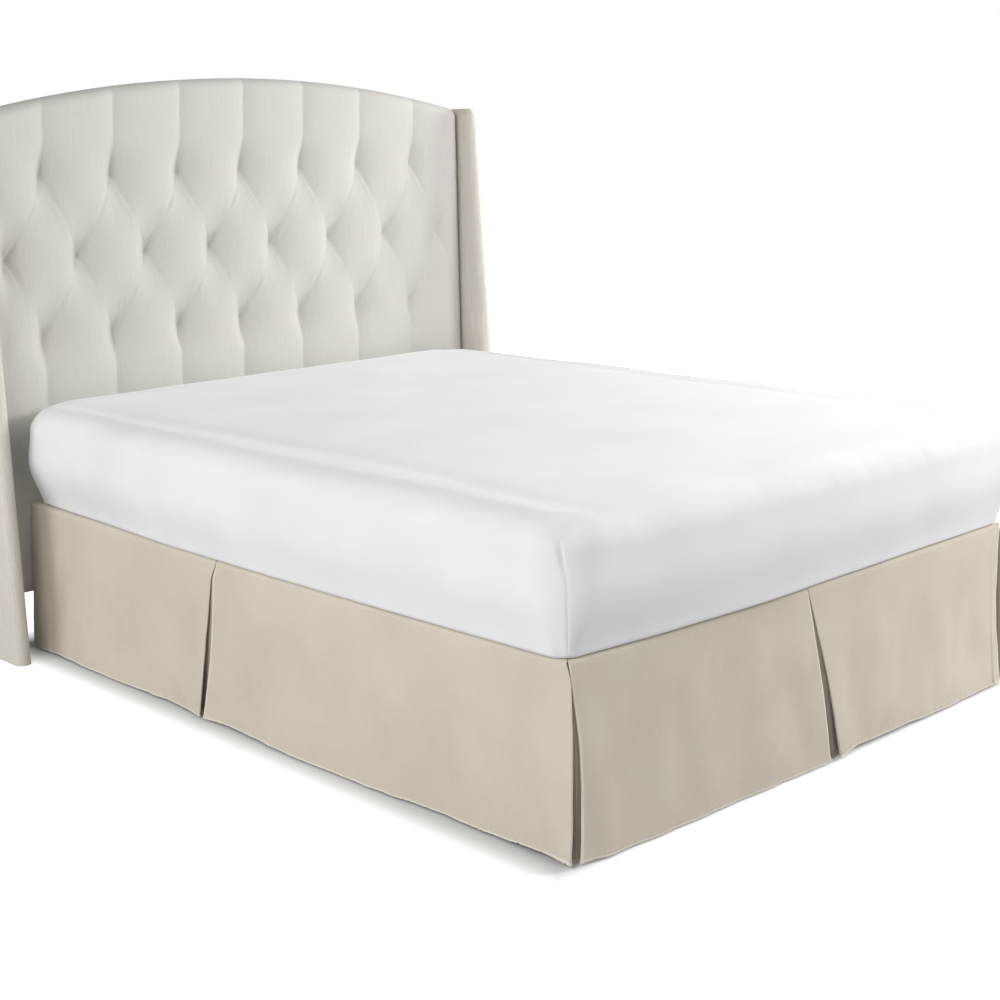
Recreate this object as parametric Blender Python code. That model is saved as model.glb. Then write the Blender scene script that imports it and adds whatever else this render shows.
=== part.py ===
"""A bed skirt on a queen bed.

The skirt is a flat deck that lies on the box spring, and three drops sewn to its edges: left, foot and
right. Each drop has an inverted box pleat, and each foot corner has one whose underlay wraps the corner.
The bed that it falls over is built plainly: a box spring on two rails and six legs, a mattress in its
fitted sheet, and a tufted headboard between two wings.

Metres, +Z up. X runs across the bed, Y from the foot to the head. The bed is built with the middle of its
foot edge at X 0, Y 0, and an empty then moves it so that the origin is the middle of its footprint.
"""

import math

import bpy
import numpy as np

# Driving sizes of the bed.
WIDTH = 1.524
LENGTH = 2.070
SIDE_BOW = 0.016  # how far each long edge and the foot edge swell outward at mid length
DECK_TOP = 0.410  # middle surface of the deck and of the drops' laps
GAP = 0.0003  # between pieces that rest on each other

# The cloth.
CLOTH = 0.0010
LAYER = 0.0014  # from one layer of a pleat to the next, at the top
BEND = 0.012  # radius in which a drop turns over the edge of the box spring
LAP = 0.015  # flat strip of each drop on top of the box spring, up to the seam with the deck
HEM_HEIGHT = 0.004
PLEAT = 0.090  # from the visible fold of a pleat to its hidden inner fold
PLEAT_SLIP = 0.010  # how much nearer to each other those folds hang at the hem
NEAR_FOLD = 0.030  # a column this far from a corner's fold keeps the lap there in its mitre
FOLD_STEPS = 4
FLARE_POWER = 1.2  # a drop stands out faster towards its hem
CORNER_ROUND = 0.020  # plan radius of the underlay behind a corner
CORNER_LAP = 0.003  # lap of that underlay
MITRE_GAP = 0.0008  # between the lap and the diagonal of a corner

# Depth behind the face at the hem, where the layers of a pleat stand apart.
FOLD_OPEN = 0.004
RETURN_DEEP = 0.009
UNDERLAY_DEEP = 0.013

# How far the hem stands out from the top edge: distance along the edge, outward.
FOOT_FLARE = (
    (0.000, 0.006),
    (0.100, 0.011),
    (0.240, 0.010),
    (0.420, 0.016),
    (0.620, 0.010),
    (0.780, 0.016),
    (0.960, 0.011),
    (1.150, 0.013),
    (1.420, 0.012),
    (1.524, 0.006),
)
SIDE_FLARE = (
    (0.000, 0.004),
    (0.200, 0.001),
    (0.420, -0.002),
    (0.600, 0.007),
    (0.850, 0.010),
    (1.120, 0.001),
    (1.230, 0.003),
    (1.400, -0.004),
    (1.650, 0.007),
    (1.860, 0.009),
    (2.070, 0.018),
)
# How far the hem is lifted above its usual height: distance along the edge, upward.
FOOT_LIFT = (
    (0.000, 0.004),
    (0.200, 0.001),
    (0.600, 0.000),
    (0.790, 0.003),
    (0.900, 0.008),
    (1.020, 0.006),
    (1.300, 0.001),
    (1.524, 0.004),
)
SIDE_LIFT = (
    (0.000, 0.004),
    (0.250, 0.001),
    (0.700, 0.000),
    (1.150, 0.003),
    (1.300, 0.002),
    (1.700, 0.000),
    (2.070, 0.003),
)

# Visible folds, as distance along the edge: at the top, at the hem, and how far the line between them bows.
SIDE_CORNER_FOLD = (0.0045, -0.012, -0.009)
FOOT_CORNER_FOLD = (0.0045, 0.020, 0.016)
SIDE_PLEAT_NEAR = (1.1580, 1.230, -0.003)
SIDE_PLEAT_FAR = (1.1616, 1.247, 0.000)
FOOT_PLEAT_NEAR = (0.7230, 0.788, 0.004)
FOOT_PLEAT_FAR = (0.7266, 0.809, 0.018)

# Box spring, rails and legs.
SPRING_INSET = 0.012
SPRING_BOTTOM = 0.215
SPRING_EDGE = 0.008
SPRING_STEP = 0.0030  # the deck's plateau above the strip that carries the laps
RAIL_HALF_SPAN = 0.600
RAIL_SIZE = (0.040, 0.032)
RAIL_START = 0.110
LEG_SIZE = 0.050
LEG_PLACES = (0.170, 1.035, 1.900)

# Mattress.
MATTRESS_LENGTH = 2.0725
MATTRESS_DEPTH = 0.278
MATTRESS_INSET = 0.003
MATTRESS_BOTTOM_EDGE = 0.012
MATTRESS_TOP_EDGE = 0.055
MATTRESS_CORNER = 0.045
MATTRESS_TOP_CORNER = 0.085
MATTRESS_BULGE = 0.004
MATTRESS_CROWN = 0.016

# Headboard: a board with a tufted pad, between two wings.
TUFT_PITCH = 0.218
TUFT_ROW_STEP = 0.2215
TOP_TUFT_ROW = 1.296
TUFT_PLANE = 2.120
TUFT_DEPTH = 0.045
PLAIN_PAD = 0.045  # the pad's thickness over the tuft plane where it is plain, low down
BORDER_PAD = 0.042  # and along the top edge
CREASE_HEIGHT = 0.72  # of the tuft depth, half way between two tufts
CREASE_POWER = 0.6  # under 1, so that creases are sharp and pillows round
PANEL_HALF_WIDTH = 0.8535
PANEL_BACK = 2.170
PANEL_BOTTOM = 0.160
TUFTS_START = 0.520  # below this height the pad is plain
ARCH_EDGE = 1.458
ARCH_RISE = 0.100
PANEL_EDGE = 0.022
WING_BASE_THICKNESS = 0.045
WING_TOP_THICKNESS = 0.037
WING_TOP = 1.452
WING_REACH_TOP = 0.090
WING_REACH_BOTTOM = 0.177
WING_ROUND = 0.030  # radius of its top


def smooth(x):
    x = np.clip(x, 0.0, 1.0)
    return x * x * (3 - 2 * x)


def from_table(table, x):
    """Read a table of (place, value) rows with soft steps between its rows."""
    x = min(max(x, table[0][0]), table[-1][0])
    for (x0, y0), (x1, y1) in zip(table, table[1:]):
        if x <= x1:
            return y0 + (y1 - y0) * float(smooth((x - x0) / (x1 - x0)))
    return table[-1][1]


# ---------------------------------------------------------------------------------------------------------
# Plan of the bed: each edge's own line, its swell and its inward direction.

EDGES = {"foot": (WIDTH, FOOT_FLARE, FOOT_LIFT), "side": (LENGTH, SIDE_FLARE, SIDE_LIFT)}


def swell(along, length):
    return SIDE_BOW * math.sin(math.pi * min(max(along / length, 0.0), 1.0))


def edge_point(edge, along):
    """A point of an edge's face line in plan, and the inward direction there.

    "foot" runs along X from the left corner, "side" runs along Y up the left side, and "corner" is the
    rounded turn between them, with along from 0 at the side to 1 at the foot.
    """
    if edge == "foot":
        return np.array((along - WIDTH / 2, -swell(along, WIDTH))), np.array((0.0, 1.0))
    if edge == "side":
        return np.array((-WIDTH / 2 - swell(along, LENGTH), along)), np.array((1.0, 0.0))
    turn = along * math.pi / 2
    inward = np.array((math.cos(turn), math.sin(turn)))
    centre = np.array((CORNER_ROUND - WIDTH / 2, CORNER_ROUND))
    swollen = swell(CORNER_ROUND, LENGTH) * (1 - along) + swell(CORNER_ROUND, WIDTH) * along
    return centre - inward * (CORNER_ROUND + swollen), inward


def edge_value(edge, along, which):
    """The flare (which 1) or the lift (which 2) of a hem at a place along its edge."""
    if edge == "corner":
        return EDGES["side"][which][0][1] * (1 - along) + EDGES["foot"][which][0][1] * along
    return from_table(EDGES[edge][which], along)


# ---------------------------------------------------------------------------------------------------------
# Drops: a strip's plan section is a row of columns, each with its place at the top and at the hem.


class Column:
    """One vertical line of a drop: where it is at the top and at the hem, and how deep behind the face."""

    def __init__(self, edge, top, hem, bow, depth_top, depth_hem):
        self.edge = edge
        self.along = (top, hem, bow)
        self.depth = (depth_top, depth_hem)

    def place(self, share):
        top, hem, bow = self.along
        return top + (hem - top) * share + bow * math.sin(math.pi * share)

    def between(self, other, share):
        mix = [
            a + (b - a) * share
            for a, b in zip(self.along + self.depth, other.along + other.depth)
        ]
        return Column(self.edge, *mix)


def fold(start, end, direction):
    """The columns of a half turn between two layers that meet at a fold."""
    columns = []
    for step in range(1, FOLD_STEPS):
        turn = math.pi * step / FOLD_STEPS
        column = start.between(end, (1 - math.cos(turn)) / 2)
        reach = [abs(b - a) / 2 * math.sin(turn) * direction for a, b in zip(start.depth, end.depth)]
        column.along = (column.along[0] + reach[0], column.along[1] + reach[1], column.along[2])
        columns.append(column)
    return columns


def strip(stops):
    """The columns of a strip, from its stops: each a Column and the way to the next one.

    The way is a count of equal steps, or a fold to the left or right, which is a half turn. The last stop
    ends the strip, whatever its way.
    """
    columns = []
    for (start, way), (end, _) in zip(stops, stops[1:]):
        columns.append(start)
        if way in ("fold left", "fold right"):
            columns += fold(start, end, 1 if way == "fold right" else -1)
        else:
            columns += [start.between(end, step / way) for step in range(1, way)]
    return columns + [stops[-1][0]]


def layer(edge, places, depth, hem_depth):
    return Column(edge, *places, depth * LAYER, hem_depth)


def shifted(places, top, hem):
    return places[0] + top, places[1] + hem, places[2]


def upright(place):
    return place, place, 0.0


def face(edge, places):
    return layer(edge, places, 0, 0.0)


def pleat(edge, near, far):
    """An inverted box pleat, from the fold that ends one face to the fold that starts the next."""
    inner_near = shifted(near, -PLEAT, PLEAT_SLIP - PLEAT)
    inner_far = shifted(far, PLEAT, PLEAT - PLEAT_SLIP)
    return [
        (face(edge, near), "fold right"),
        (layer(edge, near, 1, FOLD_OPEN), 2),
        (layer(edge, inner_near, 1, RETURN_DEEP), "fold left"),
        (layer(edge, inner_near, 2, UNDERLAY_DEEP), 4),
        (layer(edge, inner_far, 2, UNDERLAY_DEEP), "fold right"),
        (layer(edge, inner_far, 1, RETURN_DEEP), 2),
        (layer(edge, far, 1, FOLD_OPEN), "fold left"),
    ]


def side_strip():
    """The left drop: from its hidden seam behind the corner to its end at the head."""
    corner = SIDE_CORNER_FOLD
    return strip(
        [
            (layer("side", shifted(corner, PLEAT, PLEAT), 1, RETURN_DEEP), 2),
            (layer("side", shifted(corner, NEAR_FOLD, NEAR_FOLD), 1, FOLD_OPEN), 1),
            (layer("side", corner, 1, FOLD_OPEN), "fold left"),
            (face("side", corner), 1),
            (face("side", shifted(corner, NEAR_FOLD, NEAR_FOLD)), 12),
            *pleat("side", SIDE_PLEAT_NEAR, SIDE_PLEAT_FAR),
            (face("side", SIDE_PLEAT_FAR), 9),
            (face("side", upright(LENGTH)), 1),
        ]
    )


def foot_corner():
    """The left end of the foot drop: the underlay that wraps the corner, and its return."""
    corner = FOOT_CORNER_FOLD
    seam = shifted(SIDE_CORNER_FOLD, PLEAT, PLEAT)
    inner = shifted(corner, PLEAT, PLEAT - PLEAT_SLIP)
    turn = upright(CORNER_ROUND)
    return [
        (layer("side", seam, 2, UNDERLAY_DEEP), 2),
        (layer("side", turn, 2, UNDERLAY_DEEP), 1),
        (layer("corner", upright(0.25), 2, UNDERLAY_DEEP), 1),
        (layer("corner", upright(0.50), 2, UNDERLAY_DEEP), 1),
        (layer("corner", upright(0.75), 2, UNDERLAY_DEEP), 1),
        (layer("foot", turn, 2, UNDERLAY_DEEP), 2),
        (layer("foot", inner, 2, UNDERLAY_DEEP), "fold right"),
        (layer("foot", inner, 1, RETURN_DEEP), 2),
        (layer("foot", shifted(corner, NEAR_FOLD, NEAR_FOLD), 1, FOLD_OPEN), 1),
        (layer("foot", corner, 1, FOLD_OPEN), "fold left"),
        (face("foot", corner), 1),
        (face("foot", shifted(corner, NEAR_FOLD, NEAR_FOLD)), 8),
    ]


def foot_strip():
    """The foot drop from its left end to the far fold of its pleat."""
    stops = foot_corner() + pleat("foot", FOOT_PLEAT_NEAR, FOOT_PLEAT_FAR)
    return strip(stops + [(face("foot", FOOT_PLEAT_FAR), 1)])


def foot_right_panel():
    """The columns between the foot pleat and the right corner, which mirrors the left one."""
    top, hem, bow = shifted(FOOT_CORNER_FOLD, NEAR_FOLD, NEAR_FOLD)
    start, end = face("foot", FOOT_PLEAT_FAR), face("foot", (WIDTH - top, WIDTH - hem, -bow))
    return [start.between(end, step / 8) for step in range(1, 8)]


def reach_of(column):
    """How far inward a column may lie at the top, so that laps meet in a mitre at the corners."""
    if column.edge == "corner" or column.depth[0] > 1.5 * LAYER and column.along[0] <= CORNER_ROUND:
        return BEND + CORNER_LAP
    return min(BEND + LAP, column.along[0] - MITRE_GAP)


LAP_ROWS = (1.0, 0.0)  # share of the lap's width
BEND_ROWS = (67.5, 45.0, 22.5)  # degrees above the vertical face
DROP_ROWS = (0.0, 0.10, 0.22, 0.36, 0.52, 0.68, 0.84, 1.0)  # share of the way to the hem


def column_points(column, mirrored=False):
    """The middle points of one column, from the seam with the deck down to the hem."""
    reach = reach_of(column)
    bend = min(BEND, 0.8 * reach)
    points = []

    def add(place, inset, height):
        base, inward = edge_point(column.edge, place)
        x, y = base + inward * inset
        points.append((-x if mirrored else x, y, height))

    radius = bend - column.depth[0]
    for share in LAP_ROWS:
        add(column.along[0], bend + (reach - bend) * share, DECK_TOP - column.depth[0])
    for degrees in BEND_ROWS:
        angle = math.radians(degrees)
        height = DECK_TOP - bend + radius * math.sin(angle)
        add(column.along[0], bend - radius * math.cos(angle), height)
    in_front = 1 - column.depth[0] / (2 * LAYER)
    for share in DROP_ROWS:
        place = column.place(share)
        depth = column.depth[0] + (column.depth[1] - column.depth[0]) * share
        flare = edge_value(column.edge, place, 1) * share**FLARE_POWER
        low = HEM_HEIGHT + edge_value(column.edge, place, 2) * in_front
        high = DECK_TOP - bend
        add(place, depth - flare, high + (low - high) * share)
    return points


# ---------------------------------------------------------------------------------------------------------
# Meshes.


def new_object(name, points, faces, material, smooth_angle=40.0):
    mesh = bpy.data.meshes.new(name)
    mesh.from_pydata([tuple(map(float, p)) for p in points], [], faces)
    mesh.validate()
    mesh.materials.append(material)
    mesh.shade_smooth()
    mesh.set_sharp_from_angle(angle=math.radians(smooth_angle))
    made = bpy.data.objects.new(name, mesh)
    bpy.context.scene.collection.objects.link(made)
    return made


def unit_normals(grid):
    """Normals of a grid of points (rows, columns, 3)."""
    down = np.empty_like(grid)
    down[1:-1] = grid[2:] - grid[:-2]
    down[0] = grid[1] - grid[0]
    down[-1] = grid[-1] - grid[-2]
    across = np.empty_like(grid)
    across[:, 1:-1] = grid[:, 2:] - grid[:, :-2]
    across[:, 0] = grid[:, 1] - grid[:, 0]
    across[:, -1] = grid[:, -1] - grid[:, -2]
    normals = np.cross(across, down)
    return normals / np.linalg.norm(normals, axis=2, keepdims=True)


def sheet_object(name, grid, thickness, material):
    """A closed sheet around a grid of middle points: two skins and the rim between them."""
    rows, columns = grid.shape[:2]
    offset = unit_normals(grid) * (thickness / 2)
    points = np.concatenate(((grid + offset).reshape(-1, 3), (grid - offset).reshape(-1, 3)))
    other = rows * columns

    def at(row, column, skin=0):
        return skin * other + row * columns + column

    faces = []
    for row in range(rows - 1):
        for column in range(columns - 1):
            ring = [(row, column), (row + 1, column), (row + 1, column + 1), (row, column + 1)]
            faces.append([at(*corner) for corner in reversed(ring)])
            faces.append([at(*corner, 1) for corner in ring])
    rim = [(0, column) for column in range(columns)]
    rim += [(row, columns - 1) for row in range(1, rows)]
    rim += [(rows - 1, column) for column in range(columns - 2, -1, -1)]
    rim += [(row, 0) for row in range(rows - 2, 0, -1)]
    for here, after in zip(rim, rim[1:] + rim[:1]):
        faces.append([at(*after), at(*here), at(*here, 1), at(*after, 1)])
    return new_object(name, points, outward(points, faces), material)


def outward(points, faces):
    """The faces, turned to face outward."""
    points = np.asarray(points, float)
    volume = 0.0
    for ring in faces:
        for second, third in zip(ring[1:], ring[2:]):
            volume += np.dot(points[ring[0]], np.cross(points[second], points[third]))
    return faces if volume > 0 else [list(reversed(ring)) for ring in faces]


def lofted_object(name, rings, material, smooth_angle=40.0):
    """A closed solid through rings of equally many points, with a flat face on its first and last ring."""
    count = len(rings[0])
    points = [point for ring in rings for point in ring]
    faces = [list(range(count - 1, -1, -1)), [len(points) - count + i for i in range(count)]]
    for level in range(len(rings) - 1):
        low = level * count
        for i in range(count):
            after = (i + 1) % count
            faces.append([low + i, low + after, low + count + after, low + count + i])
    return new_object(name, points, outward(points, faces), material, smooth_angle)


def box_object(name, low, high, material):
    rings = [
        [(low[0], low[1], z), (high[0], low[1], z), (high[0], high[1], z), (low[0], high[1], z)]
        for z in (low[2], high[2])
    ]
    return lofted_object(name, rings, material)


def cloth_material(name, colour, roughness=0.9):
    return plain_material(name, colour, roughness)


def plain_material(name, colour, roughness, metallic=0.0):
    material = bpy.data.materials.new(name)
    material.use_nodes = True
    shader = material.node_tree.nodes["Principled BSDF"]
    shader.inputs["Base Color"].default_value = (*colour, 1.0)
    shader.inputs["Roughness"].default_value = roughness
    shader.inputs["Metallic"].default_value = metallic
    return material


# ---------------------------------------------------------------------------------------------------------
# The skirt.


def make_drop(name, columns, material):
    return sheet_object(name, np.array(columns).transpose(1, 0, 2), CLOTH, material)


def make_skirt():
    material = cloth_material("beige brushed microfibre", (0.52, 0.47, 0.37))
    left = [column_points(column) for column in side_strip()]
    right = [column_points(column, mirrored=True) for column in side_strip()]
    foot = [column_points(column) for column in foot_strip()]
    foot += [column_points(column) for column in foot_right_panel()]
    foot += [column_points(column, mirrored=True) for column in reversed(strip(foot_corner()))]
    pieces = [make_drop("drop_left", left, material), make_drop("drop_foot", foot, material)]
    pieces.append(make_drop("drop_right", right, material))
    pieces.append(make_deck(cloth_material("beige deck cloth", (0.52, 0.47, 0.37))))
    return pieces


def bed_outline(inset, corner, per_edge=14, per_corner=4, length=LENGTH, swollen=1.0):
    """The bed's outline in plan, moved inward by inset, with round corners, from the foot's left end."""
    half, corner = WIDTH / 2 - inset, max(corner - inset, 0.002)
    low, high = inset, length - inset
    points = []

    def edge(start, end, span, place):
        for step in range(per_edge + 1):
            share = step / per_edge
            x, y = (start[0] + (end[0] - start[0]) * share, start[1] + (end[1] - start[1]) * share)
            out = swell(x + WIDTH / 2 if span == WIDTH else y, span) * swollen
            points.append(place(x, y, out))

    def turn(x, y, from_degrees):
        for step in range(1, per_corner):
            angle = math.radians(from_degrees + 90 * step / per_corner)
            points.append((x + corner * math.cos(angle), y + corner * math.sin(angle)))

    right, back = half - corner, high - corner
    edge((-right, low), (right, low), WIDTH, lambda x, y, out: (x, y - out))
    turn(right, low + corner, -90)
    edge((half, low + corner), (half, back), LENGTH, lambda x, y, out: (x + out, y))
    turn(right, back, 0)
    edge((right, high), (-right, high), WIDTH, lambda x, y, out: (x, y))
    turn(-right, back, 90)
    edge((-half, back), (-half, low + corner), LENGTH, lambda x, y, out: (x - out, y))
    turn(-right, low + corner, 180)
    return points


def ring_at(height, *outline_args, **outline_sizes):
    return [(x, y, height) for x, y in bed_outline(*outline_args, **outline_sizes)]


def make_deck(material):
    """The flat sheet between the laps, on the plateau of the box spring."""
    inset = BEND + LAP + 0.0005
    rows = []
    for step in range(25):
        share = step / 24
        y = inset + (LENGTH - inset) * share
        half = WIDTH / 2 - inset + swell(y, LENGTH)
        rows.append([(half * across / 8, y, DECK_TOP) for across in range(-8, 9)])
    grid = np.array(rows)
    foot = grid[0]
    foot[:, 1] -= [swell(x + WIDTH / 2, WIDTH) for x in foot[:, 0]]
    return sheet_object("platform", grid, CLOTH, material)


# ---------------------------------------------------------------------------------------------------------
# The bed.


def make_box_spring():
    """The box spring: its laps' strip is lower than the plateau under the deck."""
    material = plain_material("grey ticking", (0.45, 0.45, 0.44), 0.9)
    plateau = DECK_TOP - CLOTH / 2 - GAP
    shelf = plateau - SPRING_STEP
    inset, edge, corner = SPRING_INSET, SPRING_EDGE, 0.045
    rings = [ring_at(SPRING_BOTTOM, inset + 0.006, corner), ring_at(SPRING_BOTTOM + 0.006, inset, corner)]
    for degrees in (0, 30, 60, 90):
        angle = math.radians(degrees)
        inward = inset + edge * (1 - math.cos(angle))
        rings.append(ring_at(shelf - edge * (1 - math.sin(angle)), inward, corner))
    rings.append(ring_at(shelf, BEND + LAP + 0.002, corner))
    rings.append(ring_at(plateau, BEND + LAP + 0.006, corner))
    return lofted_object("box_spring", rings, material)


def make_base():
    """Two steel rails under the box spring that reach the headboard, and three legs under each."""
    steel = plain_material("black steel", (0.03, 0.03, 0.03), 0.5, 0.6)
    wood = plain_material("dark wood", (0.05, 0.035, 0.025), 0.6)
    wide, tall = RAIL_SIZE
    top = SPRING_BOTTOM - GAP
    panel_front = TUFT_PLANE - PLAIN_PAD
    pieces = []
    for side, name in ((-1, "rail_left"), (1, "rail_right")):
        x = side * RAIL_HALF_SPAN
        low, high = (x - wide / 2, RAIL_START, top - tall), (x + wide / 2, panel_front - GAP, top)
        pieces.append(box_object(name, low, high, steel))
        for y in LEG_PLACES:
            low = (x - LEG_SIZE / 2, y - LEG_SIZE / 2, 0.0)
            high = (x + LEG_SIZE / 2, y + LEG_SIZE / 2, top - tall - GAP)
            count = sum(1 for piece in pieces if piece.name.startswith("leg")) + 1
            pieces.append(box_object(f"leg_{count}", low, high, wood))
    return pieces


def make_mattress():
    """The mattress in its sheet: round edges, slightly swollen sides and a low crown."""
    material = plain_material("white fitted sheet", (0.86, 0.86, 0.87), 0.85)
    bottom = DECK_TOP + CLOTH / 2 + GAP
    top = bottom + MATTRESS_DEPTH
    inset, low_edge, high_edge = MATTRESS_INSET, MATTRESS_BOTTOM_EDGE, MATTRESS_TOP_EDGE
    sizes = {"length": MATTRESS_LENGTH}
    rings = []
    for degrees in (90, 60, 30, 0):
        angle = math.radians(degrees)
        inward = inset + low_edge * (1 - math.cos(angle))
        rings.append(ring_at(bottom + low_edge * (1 - math.sin(angle)), inward, MATTRESS_CORNER, **sizes))
    middle = (bottom + low_edge + top - high_edge) / 2
    rings.append(ring_at(middle, inset - MATTRESS_BULGE, MATTRESS_CORNER, **sizes))
    for degrees in (0, 22, 45, 67, 90):
        angle = math.radians(degrees)
        inward = inset + high_edge * (1 - math.cos(angle))
        rings.append(ring_at(top - high_edge * (1 - math.sin(angle)), inward, MATTRESS_TOP_CORNER, **sizes))
    widest = WIDTH / 2 - inset - high_edge
    for share in (0.15, 0.35, 0.60, 0.85):
        inward = inset + high_edge + share * widest
        height = top + MATTRESS_CROWN * float(1 - (1 - share) ** 2)
        rings.append(ring_at(height, inward, inward + MATTRESS_TOP_CORNER, **sizes, swollen=1 - share))
    return lofted_object("mattress", rings, material, 60.0)


def arch_height(x):
    return ARCH_EDGE + ARCH_RISE * (1 - (x / PANEL_HALF_WIDTH) ** 2)


def tuft_relief(x, z):
    """How far the pad's front stands before the tuft plane: diamonds between tufts, creases to the top."""
    if z > TOP_TUFT_ROW:
        crease = abs(math.sin(math.pi * x / TUFT_PITCH)) ** CREASE_POWER
        low = 0.9 * BORDER_PAD * float(smooth((z - TOP_TUFT_ROW) / 0.06))
        return low + (BORDER_PAD - low) * crease
    across = x / TUFT_PITCH
    down = (TOP_TUFT_ROW - z) / (2 * TUFT_ROW_STEP)
    first = abs(math.sin(math.pi * (across + down))) ** CREASE_POWER
    second = abs(math.sin(math.pi * (across - down))) ** CREASE_POWER
    either, both = first + second - first * second, first * second
    tufted = TUFT_DEPTH * (CREASE_HEIGHT * either + (1 - CREASE_HEIGHT) * both)
    low_down = float(smooth((TUFTS_START - z) / 0.08))
    return tufted * (1 - low_down) + PLAIN_PAD * low_down


def make_headboard():
    """The tufted panel: a front of pillows, round top and side edges, and a flat back."""
    material = plain_material("ivory ribbed linen", (0.72, 0.70, 0.64), 0.9)
    per_pitch = 6
    count = int(PANEL_HALF_WIDTH / TUFT_PITCH * per_pitch)
    places = [step * TUFT_PITCH / per_pitch for step in range(-count, count + 1)]
    places = [-PANEL_HALF_WIDTH] + places + [PANEL_HALF_WIDTH]
    heights = [PANEL_BOTTOM, 0.35, TUFTS_START - 0.08]
    row = TOP_TUFT_ROW
    tufted = []
    while row > TUFTS_START:
        tufted.append(row)
        row -= TUFT_ROW_STEP / 3
    heights += tufted[::-1]
    grid = []
    for z in heights:
        grid.append([(x, TUFT_PLANE - edge_fade(x) * tuft_relief(x, z), z) for x in places])
    for share in (0.35, 0.70):
        line = []
        for x in places:
            z = TOP_TUFT_ROW + share * (arch_height(x) - PANEL_EDGE - TOP_TUFT_ROW)
            line.append((x, TUFT_PLANE - edge_fade(x) * tuft_relief(x, z), z))
        grid.append(line)
    for degrees in (0, 30, 60, 90):
        angle = math.radians(degrees)
        line = []
        for x in places:
            out = edge_fade(x) * BORDER_PAD
            z = arch_height(x) - PANEL_EDGE * (1 - math.sin(angle))
            line.append((x, TUFT_PLANE - out + PANEL_EDGE * (1 - math.cos(angle)), z))
        grid.append(line)
    return slab_from_front("headboard_panel", grid, PANEL_BACK, material)


def edge_fade(x):
    """The pad thins towards the panel's left and right edges, against the wings."""
    return 1 - 0.35 * float(smooth((abs(x) - PANEL_HALF_WIDTH + 0.035) / 0.035))


def slab_from_front(name, grid, back, material):
    """A closed slab with a shaped front (rows of points) and a flat back."""
    rows, columns = len(grid), len(grid[0])
    points = [point for line in grid for point in line]
    points += [(x, back, z) for x, _, z in points]
    other = rows * columns
    faces = []
    for row in range(rows - 1):
        for column in range(columns - 1):
            a = row * columns + column
            ring = [a, a + 1, a + columns + 1, a + columns]
            faces.append(ring)
    rim = list(range(columns))
    rim += [row * columns + columns - 1 for row in range(1, rows)]
    rim += [(rows - 1) * columns + column for column in range(columns - 2, -1, -1)]
    rim += [row * columns for row in range(rows - 2, 0, -1)]
    for here, after in zip(rim, rim[1:] + rim[:1]):
        faces.append([here, here + other, after + other, after])
    faces.append([place + other for place in reversed(rim)])
    points, faces = without_unused(points, faces)
    return new_object(name, points, outward(points, faces), material, 50.0)


def without_unused(points, faces):
    used = sorted({place for ring in faces for place in ring})
    index = {old: new for new, old in enumerate(used)}
    return [points[old] for old in used], [[index[place] for place in ring] for ring in faces]


def make_wing(name, side):
    """A wing: a padded board beside the panel, thicker and deeper low down, with a round front and top."""
    material = plain_material("beige linen wing", (0.60, 0.56, 0.48), 0.9)
    straight_top = WING_TOP - WING_ROUND
    levels = [(z, 0.0) for z in (0.0, 0.35, 0.70, 1.05, 1.30, straight_top)]
    for degrees in (30, 60, 80):
        angle = math.radians(degrees)
        levels.append((straight_top + WING_ROUND * math.sin(angle), 1 - math.cos(angle)))
    rings = []
    for z, drawn_in in levels:
        share = z / WING_TOP
        thick = WING_BASE_THICKNESS + (WING_TOP_THICKNESS - WING_BASE_THICKNESS) * share
        reach = WING_REACH_BOTTOM + (WING_REACH_TOP - WING_REACH_BOTTOM) * share
        half = thick / 2 * (1 - 0.6 * drawn_in)
        front = TUFT_PLANE - reach + WING_ROUND * drawn_in
        back = PANEL_BACK - 0.02 * drawn_in
        middle = PANEL_HALF_WIDTH + GAP + thick / 2
        line = [(middle + half, back, z), (middle - half, back, z)]
        for step in range(7):
            angle = math.pi * step / 6
            line.append((middle - half * math.cos(angle), front + half * (1 - math.sin(angle)), z))
        rings.append([(side * x, y, z) for x, y, z in line])
    return lofted_object(name, rings, material, 50.0)


def centre_on_floor(pieces):
    """Hang every piece on an empty that puts the origin at the bottom middle of the whole."""
    corners = np.array([v.co[:] for piece in pieces for v in piece.data.vertices])
    middle = (corners.min(axis=0) + corners.max(axis=0)) / 2
    holder = bpy.data.objects.new("bed", None)
    bpy.context.scene.collection.objects.link(holder)
    holder.location = (0.0, -middle[1], 0.0)
    for piece in pieces:
        piece.parent = holder


def main():
    for existing in list(bpy.data.objects):
        bpy.data.objects.remove(existing, do_unlink=True)
    pieces = make_skirt()
    pieces.append(make_box_spring())
    pieces += make_base()
    pieces.append(make_mattress())
    pieces.append(make_headboard())
    pieces.append(make_wing("wing_left", -1))
    pieces.append(make_wing("wing_right", 1))
    centre_on_floor(pieces)


main()
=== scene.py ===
"""A bed skirt on a queen bed, dressed for the camera.

Run as a script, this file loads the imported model, then makes a fine piece for each soft part of the bed: the
skirt's three drops and its deck, the stitching of its hem, the mattress in its fitted sheet, the tufted
headboard and its wings. The box spring, the rails and the legs keep their own solids and get a finish.

Metres, +Z up, X across the bed, Y from the foot to the head. Shapes are worked out with the middle of the
bed's foot edge at X 0, Y 0, as the model's source does, and place() moves them to the frame.
"""

import math
from collections import namedtuple
from itertools import groupby

import bpy
import numpy as np
from bpy.props import FloatProperty, IntProperty, PointerProperty, StringProperty
from mathutils import Matrix, Vector


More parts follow.
